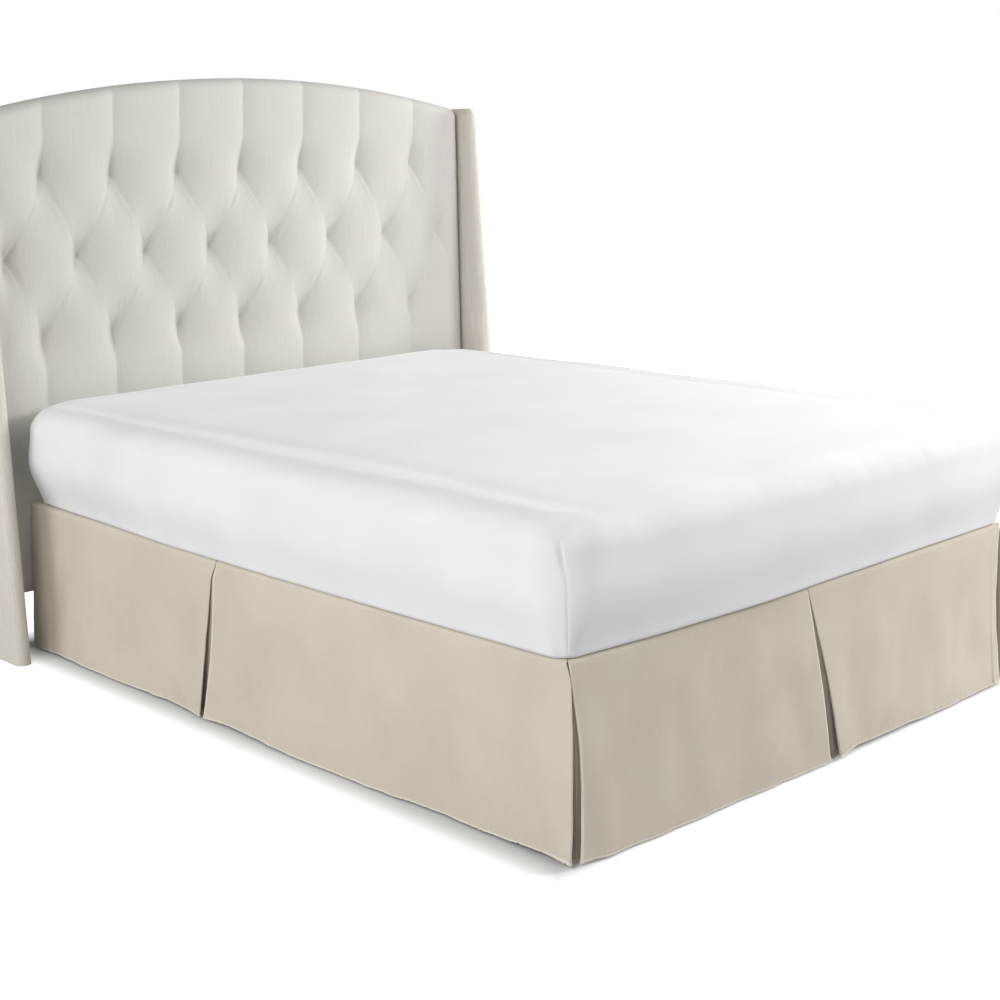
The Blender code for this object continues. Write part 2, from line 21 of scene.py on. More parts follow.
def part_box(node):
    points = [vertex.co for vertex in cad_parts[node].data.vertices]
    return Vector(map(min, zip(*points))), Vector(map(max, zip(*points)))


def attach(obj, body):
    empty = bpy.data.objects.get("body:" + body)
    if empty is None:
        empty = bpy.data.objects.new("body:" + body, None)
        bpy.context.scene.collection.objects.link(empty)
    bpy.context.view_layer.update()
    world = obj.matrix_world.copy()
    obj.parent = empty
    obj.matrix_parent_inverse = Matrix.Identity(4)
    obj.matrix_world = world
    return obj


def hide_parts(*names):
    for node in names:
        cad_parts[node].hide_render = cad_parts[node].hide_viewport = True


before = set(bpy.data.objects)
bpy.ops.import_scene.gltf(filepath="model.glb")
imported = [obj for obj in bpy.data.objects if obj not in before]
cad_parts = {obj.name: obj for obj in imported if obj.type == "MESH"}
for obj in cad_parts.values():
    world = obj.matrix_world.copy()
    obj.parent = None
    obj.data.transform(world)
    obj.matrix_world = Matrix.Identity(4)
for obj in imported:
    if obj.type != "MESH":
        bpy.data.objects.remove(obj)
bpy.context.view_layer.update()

bl_info = {
    "name": "Bed Skirt Dressing",
    "version": (1, 0, 0),
    "blender": (4, 5, 0),
    "location": "3D View > Sidebar > Bed Skirt",
    "description": "Makes the cloth, the padding and the stage of a bed with a pleated bed skirt",
    "category": "Object",
}

BODY = "root"

# The bed, as the model's source has it.
WIDTH = 1.524
LENGTH = 2.070
SIDE_BOW = 0.016
DECK_TOP = 0.410
FOOT_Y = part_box("platform")[1].y - LENGTH  # the foot edge's place in the frame

# The drops, as the model's source has them.
LAYER = 0.0014
BEND = 0.012
LAP = 0.015
HEM_HEIGHT = 0.004
HIDDEN_HEM_HEIGHT = 0.0015  # where a pleat's underlay hangs free behind
PLEAT = 0.090
PLEAT_SLIP = 0.010
NEAR_FOLD = 0.030
FLARE_POWER = 1.2
CORNER_ROUND = 0.020
CORNER_LAP = 0.003
MITRE_GAP = 0.0008
FOLD_OPEN = 0.004
RETURN_DEEP = 0.012
SHADED_DEEP = 0.042  # the underlay behind the near fold of the foot's pleats
LIT_DEEP = 0.013  # and behind the far one
UNDERLAY_DEEP = 0.020

# How far the hem stands out from the top edge: distance along the edge, outward.
FOOT_FLARE = (
    (0.000, 0.0079), (0.100, 0.0193), (0.240, 0.0208), (0.420, 0.0160), (0.620, 0.0150), (0.700, 0.0190),
    (0.780, 0.0170), (0.960, 0.0110), (1.150, 0.0130), (1.420, 0.0120), (1.524, 0.0060),
)
SIDE_FLARE = (
    (0.000, 0.004), (0.200, 0.001), (0.420, -0.002), (0.600, 0.007), (0.850, 0.010), (1.120, 0.001),
    (1.230, 0.003), (1.400, -0.004), (1.650, 0.007), (1.860, 0.009), (2.070, 0.018),
)
# How far the hem is lifted above its usual height: distance along the edge, upward.
FOOT_LIFT = (
    (0.000, 0.006), (0.120, 0.000), (0.200, 0.000), (0.600, 0.000), (0.790, 0.003), (0.900, 0.008),
    (1.020, 0.006), (1.300, 0.001), (1.524, 0.004),
)
SIDE_LIFT = (
    (0.000, 0.009), (0.250, 0.001), (0.700, 0.000), (1.150, 0.003), (1.300, 0.002), (1.700, 0.000),
    (2.070, 0.003),
)

# Visible folds, as distance along the edge: at the top, at the hem, how far the line between them bows, and how
# far it swings out just under the top.
SIDE_CORNER_FOLD = (0.0045, -0.009, -0.004, -0.010)
FOOT_CORNER_FOLD = (0.0045, 0.0135, 0.015, 0.0)
SIDE_PLEAT_NEAR = (1.1480, 1.2180, -0.009, 0.0120)
SIDE_PLEAT_FAR = (1.1530, 1.2390, 0.003, 0.0140)
FOOT_PLEAT_NEAR = (0.7215, 0.7770, 0.009, 0.0)
FOOT_PLEAT_FAR = (0.7250, 0.8150, 0.0125, 0.0)

# The cloth's main creases: where each crosses the top and the hem, as distance along the edge,
# how far it stands out, its half width, and the shares of the drop between which it grows to its full height.
CREASE_COLUMNS = ("top", "hem", "out", "half_width", "starts", "full")
FOOT_CREASES = (
    (0.050, 0.075, 0.0060, 0.034, 0.10, 0.55), (0.150, 0.170, -0.0053, 0.050, 0.35, 0.95),
    (0.285, 0.300, -0.0045, 0.034, 0.15, 0.60), (0.350, 0.370, 0.0048, 0.042, 0.05, 0.45),
    (0.470, 0.480, -0.0033, 0.050, 0.20, 0.70), (0.590, 0.575, 0.0042, 0.050, 0.05, 0.50),
    (0.660, 0.690, -0.0067, 0.034, 0.20, 0.75), (0.850, 0.900, -0.0045, 0.040, 0.15, 0.55),
    (0.960, 0.980, 0.0039, 0.048, 0.05, 0.50), (1.110, 1.085, -0.0036, 0.055, 0.10, 0.60),
    (1.230, 1.260, 0.0039, 0.050, 0.15, 0.55), (1.380, 1.370, -0.0030, 0.050, 0.10, 0.60),
)
SIDE_CREASES = (
    (0.050, 0.045, 0.0053, 0.030, 0.10, 0.50), (0.115, 0.125, -0.0042, 0.028, 0.15, 0.60),
    (0.185, 0.180, 0.0039, 0.034, 0.10, 0.55), (0.340, 0.370, -0.0051, 0.060, 0.30, 0.80),
    (0.520, 0.500, 0.0030, 0.070, 0.10, 0.60), (0.690, 0.720, -0.0030, 0.070, 0.15, 0.70),
    (0.900, 0.880, 0.0036, 0.070, 0.10, 0.60), (1.060, 1.120, -0.0063, 0.045, 0.25, 0.80),
    (1.270, 1.310, -0.0036, 0.050, 0.10, 0.60), (1.420, 1.460, 0.0039, 0.060, 0.10, 0.60),
    (1.620, 1.600, -0.0033, 0.060, 0.10, 0.70), (1.790, 1.800, 0.0045, 0.055, 0.10, 0.60),
    (1.930, 1.960, -0.0045, 0.050, 0.15, 0.70),
)
LIP_WIDTH = 0.045  # beside a visible fold, where the cloth curls out
LIP_OUT = 0.008
LIP_POWER = 1.6  # the lips open faster towards the hem
SWING_SHARE = 0.1  # the share of the drop in which a fold swings out under the top
FOLD_HIGHLIGHT_WIDTH = 0.0022  # the painted highlight beside a fold
HEM_HIGHLIGHT_SIZE = 0.0019  # and the painted highlight along the hem's lower edge
HEM_STIFFNESS = 0.65  # the share of a crease that the folded hem holds flat
HEM_HOLDS = 0.22  # the lowest share of the drop, where it does so
SOFT_UNEVEN = 0.0010  # the random part of the drops' unevenness
SOFT_LENGTH = 0.17
SOFT_START = 0.45  # the share of the drop in which it grows

# The mattress.
MATTRESS_LENGTH = 2.0365
MATTRESS_DEPTH = 0.278
MATTRESS_INSET = -0.035  # from the skirt's edge: below 0, as the full sides stand out before they are drawn in
MATTRESS_BOTTOM_EDGE = 0.012
MATTRESS_TOP_EDGE = 0.074
MATTRESS_CORNER = 0.030
MATTRESS_TOP_CORNER = 0.085
MATTRESS_BULGE = 0.004
# How far the sheet is drawn in under the mattress: under its sides from the foot to the head, and under its
# foot from left to right.
SIDE_TUCK = ((0.0, 0.024), (1.3, 0.026), (1.75, 0.040), (2.07, 0.044))
FOOT_TUCK = ((-0.77, 0.034), (-0.45, 0.024), (-0.20, 0.022), (0.10, 0.032), (0.40, 0.036), (0.77, 0.034))
TUCK_TOP = 0.56  # the share of the mattress's depth in which it is
TUCK_POWER = 1.3
TUCK_CORNER = 0.05  # how far from the foot the two are blended
MATTRESS_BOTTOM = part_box("mattress")[0].z
MATTRESS_TOP = MATTRESS_BOTTOM + MATTRESS_DEPTH

# The headboard.
TUFT_PITCH = 0.218
TUFT_ROW_STEP = 0.2185
TOP_TUFT_ROW = 1.290
TUFT_PLANE = 2.120
PANEL_HALF_WIDTH = 0.8535
PANEL_BACK = 2.170
PANEL_BOTTOM = 0.160
TUFTS_START = 0.520
ARCH_EDGE = 1.458
ARCH_RISE = 0.100
PANEL_EDGE = 0.028
PANEL_SIDE_EDGE = 0.024
TUFT_LEAN = 0.045  # the tufts' columns lean a little to the left going down
TUFT_SHIFT = -0.001
TUFT_EASE = 0.35  # how much shallower the tufts are at the right than at the left
WING_GAP = 0.0003
WING_BASE_THICKNESS = 0.045
WING_TOP_THICKNESS = 0.037
WING_TOP = 1.458
WING_REACH_TOP = 0.093
WING_REACH_BOTTOM = 0.186
WING_ROUND = 0.030

# The camera, in metres and radians, with its place measured from the bed's foot corner.
CAMERA_PLACE = (-2.2209, -2.214, 1.4198)
CAMERA_PITCH = 0.1605
CAMERA_YAW = 0.7497
CAMERA_ROLL = -0.0209
CAMERA_LENS = 62.258  # in millimetres, as the sensor's width is
SENSOR_WIDTH = 36.0
CAMERA_SHIFT_UP = -0.1

SHADOW_REACH = 0.16  # how far from the bed the floor keeps its own shade


# ---------------------------------------------------------------------------------------------------------
# What a user can change.


def length(name, description, default, **limits):
    return FloatProperty(name=name, description=description, default=default, unit="LENGTH", precision=4, **limits)


def factor(name, description, default):
    return FloatProperty(name=name, description=description, default=default, min=0.0, max=1.0, subtype="FACTOR")


def colour(name, description, default):
    return StringProperty(name=name, description=description + ", as an sRGB hex value", default=default)


class SkirtSettings(bpy.types.PropertyGroup):
    """The skirt's cloth and its hem"""

    cloth: length("Cloth", "Thickness of the cloth", 0.0009, min=0.0003, max=0.002)
    hem_width: length("Hem width", "Height of the turned hem", 0.0100, min=0.004, max=0.03)
    hem_step: length("Hem step", "How far the folded hem stands proud of the cloth", 0.0008, min=0.0, max=0.002)
    pucker_depth: length("Pucker depth", "How far the hem ripples in and out", 0.0012, min=0.0, max=0.004)
    pucker_pitch: length("Pucker pitch", "Usual distance between two puckers", 0.013, min=0.006, max=0.06)
    column_pitch: length("Mesh pitch", "Distance between the mesh's columns", 0.0038, min=0.002, max=0.02)
    stitch_pitch: length("Stitch pitch", "Distance between two stitches", 0.0058, min=0.002, max=0.02)
    stitch_length: length("Stitch length", "Length of a stitch that shows", 0.0038, min=0.001, max=0.01)
    thread: length("Thread", "Thickness of the thread", 0.0020, min=0.0002, max=0.002)
    colour_light: colour("Light colour", "Cloth where its nap stands up", "CAC3B5")
    colour_dark: colour("Dark colour", "Cloth where its nap lies flat", "BFB7A8")
    # Painted highlight, laid beside folds and along the hem's lower edge
    painted_highlight_colour: colour("Painted highlight colour", "Painted highlight beside a fold and along the hem's lower edge", "F1EBDF")
    # Painted shade, laid in the stitches' furrow
    painted_furrow_shade_colour: colour("Painted furrow shade colour", "Painted shade in the furrow of the stitches", "80766A")
    thread_colour: colour("Thread colour", "The hem's thread", "E8E2D4")


class MattressSettings(bpy.types.PropertyGroup):
    """The mattress in its fitted sheet"""

    crown: length("Crown", "How much higher the middle is than the edges", 0.016, min=0.0, max=0.06)
    seam_depth: length("Corner seam depth", "Depth of the sheet's seam at a corner", 0.0042, min=0.0, max=0.01)
    colour_light: colour("Colour", "The sheet", "E1E1E2")
    colour_dark: colour("Shade", "The sheet where its weave lies in its own shade", "DDDDDF")


class HeadboardSettings(bpy.types.PropertyGroup):
    """The tufted headboard and its wings"""

    tuft_depth: length("Tuft depth", "How deep the tufts are drawn in", 0.045, min=0.01, max=0.08)
    crease_height: factor("Crease height", "Height of a crease between two tufts, as a share of their depth", 0.88)
    opening: factor("Opening", "How far the outer pleats open up, as a share of their depth", 0.68)
    mesh_pitch: length("Mesh pitch", "Distance between the mesh's columns", 0.0042, min=0.003, max=0.03)
    colour_light: colour("Light colour", "Ribs of the linen", "C9C6C1")
    colour_dark: colour("Dark colour", "Furrows between the ribs", "C2BFB9")
    wing_light: colour("Wing light colour", "Ribs of the wings' linen", "D4D0C7")
    wing_dark: colour("Wing dark colour", "Furrows of the wings' linen", "C4BEB4")


class BedSettings(bpy.types.PropertyGroup):
    """The bed's plain parts and the stage"""

    ticking: colour("Ticking", "The box spring's cover", "C9C6BE")
    ticking_stripe: colour("Ticking stripe", "The stripes of that cover", "8C9299")
    steel: colour("Steel", "The rails' paint", "1B1B1D")
    wood: colour("Wood", "The legs' stain", "3A2A20")
    floor: colour("Floor", "The stage's floor", "D2D2D1")
    seed: IntProperty(name="Seed", description="Picks the cloth's random unevenness", default=7, min=0)


# ---------------------------------------------------------------------------------------------------------
# Numbers and meshes.


def smooth(x):
    x = np.clip(x, 0.0, 1.0)
    return x * x * (3 - 2 * x)


def bump(x):
    """A soft bell: 1 at 0, and nearly 0 past 2."""
    return np.exp(-np.square(x))


def read_table(table, x):
    """Read a table of (place, value) rows with soft steps between its rows."""
    places, values = np.array(table).T
    x = np.clip(x, places[0], places[-1])
    row = np.clip(np.searchsorted(places, x, side="right") - 1, 0, len(places) - 2)
    share = smooth((x - places[row]) / (places[row + 1] - places[row]))
    return values[row] + (values[row + 1] - values[row]) * share


def unevenness(seed, across, down, longest, upright=0.5, waves=10):
    """Soft random unevenness of about -1 to 1: a sum of waves, whose ridges mostly run down the cloth."""
    random = np.random.default_rng(seed)
    total = 0.0
    for _ in range(waves):
        wave = longest * random.uniform(0.4, 1.0)
        turn = random.normal(0.0, upright)
        phase = random.uniform(0.0, 2 * math.pi)
        total = total + np.sin(2 * math.pi * (across * math.cos(turn) + down * math.sin(turn)) / wave + phase)
    return total / math.sqrt(waves)


def place(points):
    """Points of the bed, moved to the frame."""
    return np.asarray(points, float) + (0.0, FOOT_Y, 0.0)


def outward(points, faces):
    """Quads, turned so that the closed mesh's faces point outward."""
    a, b, c, d = (points[faces[:, corner]] for corner in range(4))
    volume = (a * np.cross(b, c)).sum() + (a * np.cross(c, d)).sum()
    return faces if volume > 0 else faces[:, ::-1]


def grid_faces(rows, columns, closed=False):
    """The quads of a grid of points, whose last column may join its first."""
    row = np.arange(rows - 1)[:, None]
    column = np.arange(columns if closed else columns - 1)[None, :]
    after = (column + 1) % columns
    ring = (row * columns + column, row * columns + after, (row + 1) * columns + after, (row + 1) * columns + column)
    return np.stack([corner.ravel() for corner in ring], axis=1)


def linked_object(name, data):
    """A new object in the scene."""
    made = bpy.data.objects.new(name, data)
    bpy.context.scene.collection.objects.link(made)
    return made


def new_piece(name, points, faces, material, sharp=60.0, uv=None):
    """A mesh object in the frame, from bed points and faces that point outward."""
    mesh = bpy.data.meshes.new(name)
    mesh.from_pydata(place(points).tolist(), [], [list(map(int, ring)) for ring in faces])
    if uv is not None:
        layer = mesh.uv_layers.new(name="cloth")
        corners = np.empty(len(mesh.loops), np.int32)
        mesh.loops.foreach_get("vertex_index", corners)
        layer.data.foreach_set("uv", np.asarray(uv, np.float32)[corners].ravel())
    mesh.materials.append(material)
    mesh.shade_smooth()
    mesh.set_sharp_from_angle(angle=math.radians(sharp))
    return linked_object(name, mesh)


def grid_normals(grid):
    """Unit normals of a grid of points (rows, columns, 3)."""
    down = np.gradient(grid, axis=0)
    across = np.gradient(grid, axis=1)
    normals = np.cross(across, down)
    return normals / np.maximum(np.linalg.norm(normals, axis=2, keepdims=True), 1e-12)


def rim_of(rows, columns):
    """The places of a grid's outer points, once round."""
    rim = list(range(columns))
    rim += [row * columns + columns - 1 for row in range(1, rows)]
    rim += [(rows - 1) * columns + column for column in range(columns - 2, -1, -1)]
    rim += [row * columns for row in range(rows - 2, 0, -1)]
    return rim


def sheet_piece(name, front, back, material, uv, shade=None):
    """A closed sheet of cloth from the grids of its two skins; shade is each point's painted light, from -1, painted
    shade in the stitches' furrow, to 1, a painted highlight on the edge of a fold or along the hem."""
    rows, columns = front.shape[:2]
    points = np.concatenate((front.reshape(-1, 3), back.reshape(-1, 3)))
    skin = grid_faces(rows, columns)
    rim = np.array(rim_of(rows, columns))
    after = np.roll(rim, -1)
    other = rows * columns
    faces = np.concatenate((skin, skin[:, ::-1] + other, np.stack((after, rim, rim + other, after + other), axis=1)))
    uv = np.concatenate((uv.reshape(-1, 2), uv.reshape(-1, 2)))
    piece = new_piece(name, points, outward(points, faces), material, uv=uv)
    shade = np.zeros((rows, columns)) if shade is None else shade
    layer = piece.data.attributes.new("shade", "FLOAT", "POINT")
    layer.data.foreach_set("value", np.tile(shade.ravel(), 2).astype(np.float32))
    return piece


# ---------------------------------------------------------------------------------------------------------
# Materials.


def linear(hex_text):
    """An sRGB hex colour as linear red, green, blue and alpha."""
    channels = [int(hex_text[start : start + 2], 16) / 255 for start in (0, 2, 4)]
    return (*[c / 12.92 if c <= 0.04045 else ((c + 0.055) / 1.055) ** 2.4 for c in channels], 1.0)


def add_node(tree, kind, inputs=None, **settings):
    """Add a node with its settings; inputs maps a socket to a value, or to the node or output that feeds it."""
    node = tree.nodes.new(kind)
    for name, value in settings.items():
        setattr(node, name, value)
    for socket, value in (inputs or {}).items():
        if isinstance(value, bpy.types.Node):
            value = next(output for output in value.outputs if output.enabled)
        if isinstance(value, bpy.types.NodeSocket):
            tree.links.new(value, node.inputs[socket])
        else:
            node.inputs[socket].default_value = value
    return node


def new_material(name, **shader_values):
    """A material, with these values on its shader's own sockets, its node tree and its place on the object."""
    material = bpy.data.materials.new(name)
    material.use_nodes = True
    tree = material.node_tree
    for socket, value in shader_values.items():
        tree.nodes["Principled BSDF"].inputs[socket.replace("_", " ")].default_value = value
    return material, tree, add_node(tree, "ShaderNodeTexCoord")


def finish_material(material, ground, coats, relief=None):
    """Lay colours over the ground colour, each as much as its own amount says, and raise the surface.

    coats holds pairs of an amount of 0 to 1 and a colour; relief is a height, its strength and its depth.
    """
    tree = material.node_tree
    shader = tree.nodes["Principled BSDF"]
    colour = linear(ground)
    for amount, tint in coats:
        colour = add_node(tree, "ShaderNodeMix", {"Factor": amount, 6: colour, 7: linear(tint)}, data_type="RGBA")
    tree.links.new(colour.outputs[2], shader.inputs["Base Color"])
    if relief:
        height, strength, depth = relief
        raised = add_node(tree, "ShaderNodeBump", {"Height": height, "Strength": strength, "Distance": depth})
        tree.links.new(raised.outputs[0], shader.inputs["Normal"])
    return material


def microfibre_material(settings):
    """Brushed polyester microfibre: a plain weave with a raised nap, which gives a matt face, soft clouds where the
    nap lies another way, and a pale rim where a fold turns away, which the sheen gives and a painted highlight beside
    the folds and along the hem adds to."""
    material, tree, where = new_material(
        "brushed microfibre", Roughness=0.88, Sheen_Weight=0.30, Sheen_Roughness=0.35, Specular_IOR_Level=0.25,
        Sheen_Tint=linear("FFF6E8"),
    )
    cloudy = {"Vector": where.outputs["Object"], "Scale": 1 / 0.18, "Detail": 1.5, "Roughness": 0.5}
    clouds = add_node(tree, "ShaderNodeTexNoise", cloudy)
    # The threads are 0.3 mm apart, too fine to show, so they are drawn as slubs of 2.5 mm by 30 mm.
    slubs = []
    for scale in ((1 / 0.0025, 1 / 0.030, 1.0), (1 / 0.030, 1 / 0.0025, 1.0)):
        threads = add_node(tree, "ShaderNodeMapping", {"Vector": where.outputs["UV"], "Scale": scale})
        slubs.append(add_node(tree, "ShaderNodeTexNoise", {"Vector": threads, "Scale": 1.0, "Detail": 2.0}))
    weave = add_node(tree, "ShaderNodeMath", {0: slubs[0], 1: slubs[1]}, operation="ADD")
    # Clouds count for three fifths of the colour's change, the weave for the rest.
    soft = add_node(tree, "ShaderNodeMapRange", {"Value": clouds, "From Min": 0.32, "From Max": 0.68, "To Max": 0.60})
    fine = add_node(tree, "ShaderNodeMapRange", {"Value": weave, "From Min": 0.7, "From Max": 1.3, "To Max": 0.40})
    amount = add_node(tree, "ShaderNodeMath", {0: soft, 1: fine}, operation="ADD")
    # The attribute is 1 for a painted highlight on the edge of a fold and along the hem, and -1 for painted shade in
    # the stitches' furrow.
    shade = add_node(tree, "ShaderNodeAttribute", attribute_name="shade").outputs["Fac"]
    # rim lays the painted highlight, seam the painted shade in the stitches' furrow
    rim = add_node(tree, "ShaderNodeMapRange", {"Value": shade, "To Max": 0.85})
    seam = add_node(tree, "ShaderNodeMapRange", {"Value": shade, "From Max": -1.0, "To Max": 0.75})
    coats = ((amount, settings.colour_light), (rim, settings.painted_highlight_colour), (seam, settings.painted_furrow_shade_colour))
    return finish_material(material, settings.colour_dark, coats, (weave, 0.35, 0.0006))


def linen_material(name, light, dark):
    """Ribbed linen: upright ribs of uneven thread with slubs, which give fine upright streaks of light and
    shade, and a matt face."""
    material, tree, where = new_material(
        name, Roughness=0.92, Sheen_Weight=0.12, Sheen_Roughness=0.5, Specular_IOR_Level=0.2
    )
    # Ribs are 2 mm apart and slubs 60 mm long; they are drawn at 3.6 mm and 80 mm, so that they show.
    along, across = (
        add_node(tree, "ShaderNodeMapping", {"Vector": where.outputs["UV"], "Scale": scale})
        for scale in ((1 / 0.0036, 1 / 0.080, 1.0), (1 / 0.030, 1 / 0.0035, 1.0))
    )
    ribs = add_node(tree, "ShaderNodeTexNoise", {"Vector": along, "Scale": 1.0, "Detail": 3.0, "Roughness": 0.6})
    weft = add_node(tree, "ShaderNodeTexNoise", {"Vector": across, "Scale": 1.0, "Detail": 2.0})
    weave = add_node(tree, "ShaderNodeMath", {0: weft, 1: 0.35, 2: ribs}, operation="MULTIPLY_ADD")
    amount = add_node(tree, "ShaderNodeMapRange", {"Value": weave, "From Min": 0.45, "From Max": 0.92})
    return finish_material(material, dark, ((amount, light),), (weave, 0.3, 0.0010))


def sheet_material(settings):
    """Brushed microfibre sheeting, bleached: very smooth and matt, with a faint cool shade."""
    material, tree, where = new_material(
        "bleached sheeting", Roughness=0.8, Sheen_Weight=0.15, Sheen_Roughness=0.5, Specular_IOR_Level=0.25
    )
    place = where.outputs["Object"]
    clouds = add_node(tree, "ShaderNodeTexNoise", {"Vector": place, "Scale": 1 / 0.22, "Detail": 2.0})
    amount = add_node(tree, "ShaderNodeMapRange", {"Value": clouds, "From Min": 0.35, "From Max": 0.65})
    # Threads of 0.2 mm are drawn as a grain of 2 mm.
    grain = add_node(tree, "ShaderNodeTexNoise", {"Vector": place, "Scale": 1 / 0.002, "Detail": 1.0})
    coats = ((amount, settings.colour_light),)
    return finish_material(material, settings.colour_dark, coats, (grain, 0.12, 0.0004))


def thread_material(settings):
    """Spun polyester thread: matt, a little paler than the cloth."""
    material, tree, where = new_material("spun thread", Roughness=0.8, Specular_IOR_Level=0.3)
    place = where.outputs["Object"]
    twist = add_node(tree, "ShaderNodeTexNoise", {"Vector": place, "Scale": 1 / 0.012, "Detail": 1.0})
    return finish_material(material, settings.colour_dark, ((twist, settings.thread_colour),))


def ticking_material(settings):
    """Woven ticking: a dense twill with narrow upright stripes, matt."""
    material, tree, where = new_material("striped ticking", Roughness=0.9, Specular_IOR_Level=0.2)
    place = where.outputs["Object"]
    axes = add_node(tree, "ShaderNodeSeparateXYZ", {0: place}).outputs
    along = add_node(tree, "ShaderNodeMath", {0: axes["X"], 1: axes["Y"]}, operation="ADD")
    # A stripe of 3 mm every 36 mm.
    turn = add_node(tree, "ShaderNodeMath", {0: along, 1: 0.018}, operation="PINGPONG")
    stripe = add_node(tree, "ShaderNodeMapRange", {"Value": turn, "From Min": 0.0012, "From Max": 0.0018})
    # The twill's 0.8 mm lines are drawn as a grain of 1.5 mm.
    twill = add_node(tree, "ShaderNodeTexNoise", {"Vector": place, "Scale": 1 / 0.0015, "Detail": 1.0})
    return finish_material(material, settings.ticking_stripe, ((stripe, settings.ticking),), (twill, 0.3, 0.0005))


def steel_material(settings):
    """Powder-coated steel: a satin black skin with an orange peel of 1.2 mm."""
    material, tree, where = new_material("powder-coated steel", Roughness=0.45)
    place = where.outputs["Object"]
    peel = add_node(tree, "ShaderNodeTexNoise", {"Vector": place, "Scale": 1 / 0.0012, "Detail": 2.0})
    return finish_material(material, "121213", ((peel, settings.steel),), (peel, 0.25, 0.0002))


def wood_material(settings):
    """Stained beech: dark, with a straight upright grain, 3 mm by 90 mm, under a satin lacquer."""
    material, tree, where = new_material("stained beech", Roughness=0.42, Coat_Weight=0.15, Coat_Roughness=0.3)
    drawn_out = {"Vector": where.outputs["Object"], "Scale": (1 / 0.003, 1 / 0.003, 1 / 0.090)}
    place = add_node(tree, "ShaderNodeMapping", drawn_out)
    grain = add_node(tree, "ShaderNodeTexNoise", {"Vector": place, "Scale": 1.0, "Detail": 4.0})
    amount = add_node(tree, "ShaderNodeMapRange", {"Value": grain, "From Min": 0.35, "From Max": 0.65})
    return finish_material(material, "22170F", ((amount, settings.wood),), (grain, 0.2, 0.0003))


def floor_material(settings):
    """Matt paper backdrop: pale, with the faintest tooth. Beyond the bed's own shadow it is lit from behind,
    so that it reads as white to the camera."""
    material, tree, where = new_material(
        "backdrop paper", Roughness=0.95, Specular_IOR_Level=0.1, Emission_Color=linear("FFFFFF")
    )
    place = where.outputs["Object"]
    axes = add_node(tree, "ShaderNodeSeparateXYZ", {0: place}).outputs
    beyond = []
    for axis, half in (("X", WIDTH / 2), ("Y", LENGTH / 2)):
        aside = add_node(tree, "ShaderNodeMath", {0: axes[axis]}, operation="ABSOLUTE")
        beyond.append(add_node(tree, "ShaderNodeMath", {0: aside, 1: half}, operation="SUBTRACT"))
    away = add_node(tree, "ShaderNodeMath", {0: beyond[0], 1: beyond[1]}, operation="MAXIMUM")
    reach = {"Value": away, "From Max": SHADOW_REACH}
    lit = add_node(tree, "ShaderNodeMapRange", reach, interpolation_type="SMOOTHSTEP")
    seen = add_node(tree, "ShaderNodeLightPath").outputs["Is Camera Ray"]
    glow = add_node(tree, "ShaderNodeMath", {0: seen, 1: lit}, operation="MULTIPLY")
    tree.links.new(glow.outputs[0], tree.nodes["Principled BSDF"].inputs["Emission Strength"])
    # The tooth of the paper, which is under 1 mm, is drawn as a grain of 4 mm.
    tooth = add_node(tree, "ShaderNodeTexNoise", {"Vector": place, "Scale": 1 / 0.004, "Detail": 1.0})
    return finish_material(material, "CECECD", ((tooth, settings.floor),))


# ---------------------------------------------------------------------------------------------------------
# The skirt's drops. A strip's plan section is a row of columns; each column runs from the seam with the deck,
# over the box spring's edge and down to the hem.

SIDE, CORNER, FOOT = 0, 1, 2
EDGE_TABLES = {SIDE: (LENGTH, SIDE_FLARE, SIDE_LIFT), FOOT: (WIDTH, FOOT_FLARE, FOOT_LIFT)}
Column = namedtuple("Column", "edge top hem bow swing deep_top deep_hem layer mirrored")
FOLD_STEPS = 8
HIDDEN_PITCH = 0.009


def between(start, end, share):
    """The column a share of the way from one column to another on the same edge."""
    mixed = [a + (b - a) * share for a, b in zip(start[1:8], end[1:8])]
    return Column(start.edge, *mixed, start.mirrored)


def half_turn(start, end, direction):
    """The columns of the half turn of cloth between two layers that meet at a fold."""
    columns = []
    for step in range(1, FOLD_STEPS):
        turn = math.pi * step / FOLD_STEPS
        column = between(start, end, (1 - math.cos(turn)) / 2)
        at_top = abs(end.deep_top - start.deep_top) / 2 * math.sin(turn) * direction
        at_hem = abs(end.deep_hem - start.deep_hem) / 2 * math.sin(turn) * direction
        columns.append(column._replace(top=column.top + at_top, hem=column.hem + at_hem))
    return columns


def strip(stops):
    """The columns of a strip, from its stops: each a Column and the way to the next one.

    The way is "fold left" or "fold right" for a half turn, or the greatest distance between two columns. The
    last stop ends the strip, whatever its way.
    """
    columns = []
    for (start, way), (end, _) in zip(stops, stops[1:]):
        columns.append(start)
        if way == "fold right":
            columns += half_turn(start, end, 1)
        elif way == "fold left":
            columns += half_turn(start, end, -1)
        elif start.edge == end.edge:
            steps = max(1, math.ceil(abs(end.top - start.top) / way))
            columns += [between(start, end, step / steps) for step in range(1, steps)]
    return columns + [stops[-1][0]]


def layer(edge, places, number, deep_hem):
    return Column(edge, *places, number * LAYER, deep_hem, number, False)


def shifted(places, top, hem):
    return places[0] + top, places[1] + hem, *places[2:]


def upright(at):
    return at, at, 0.0, 0.0


def face(edge, places):
    return layer(edge, places, 0, 0.0)


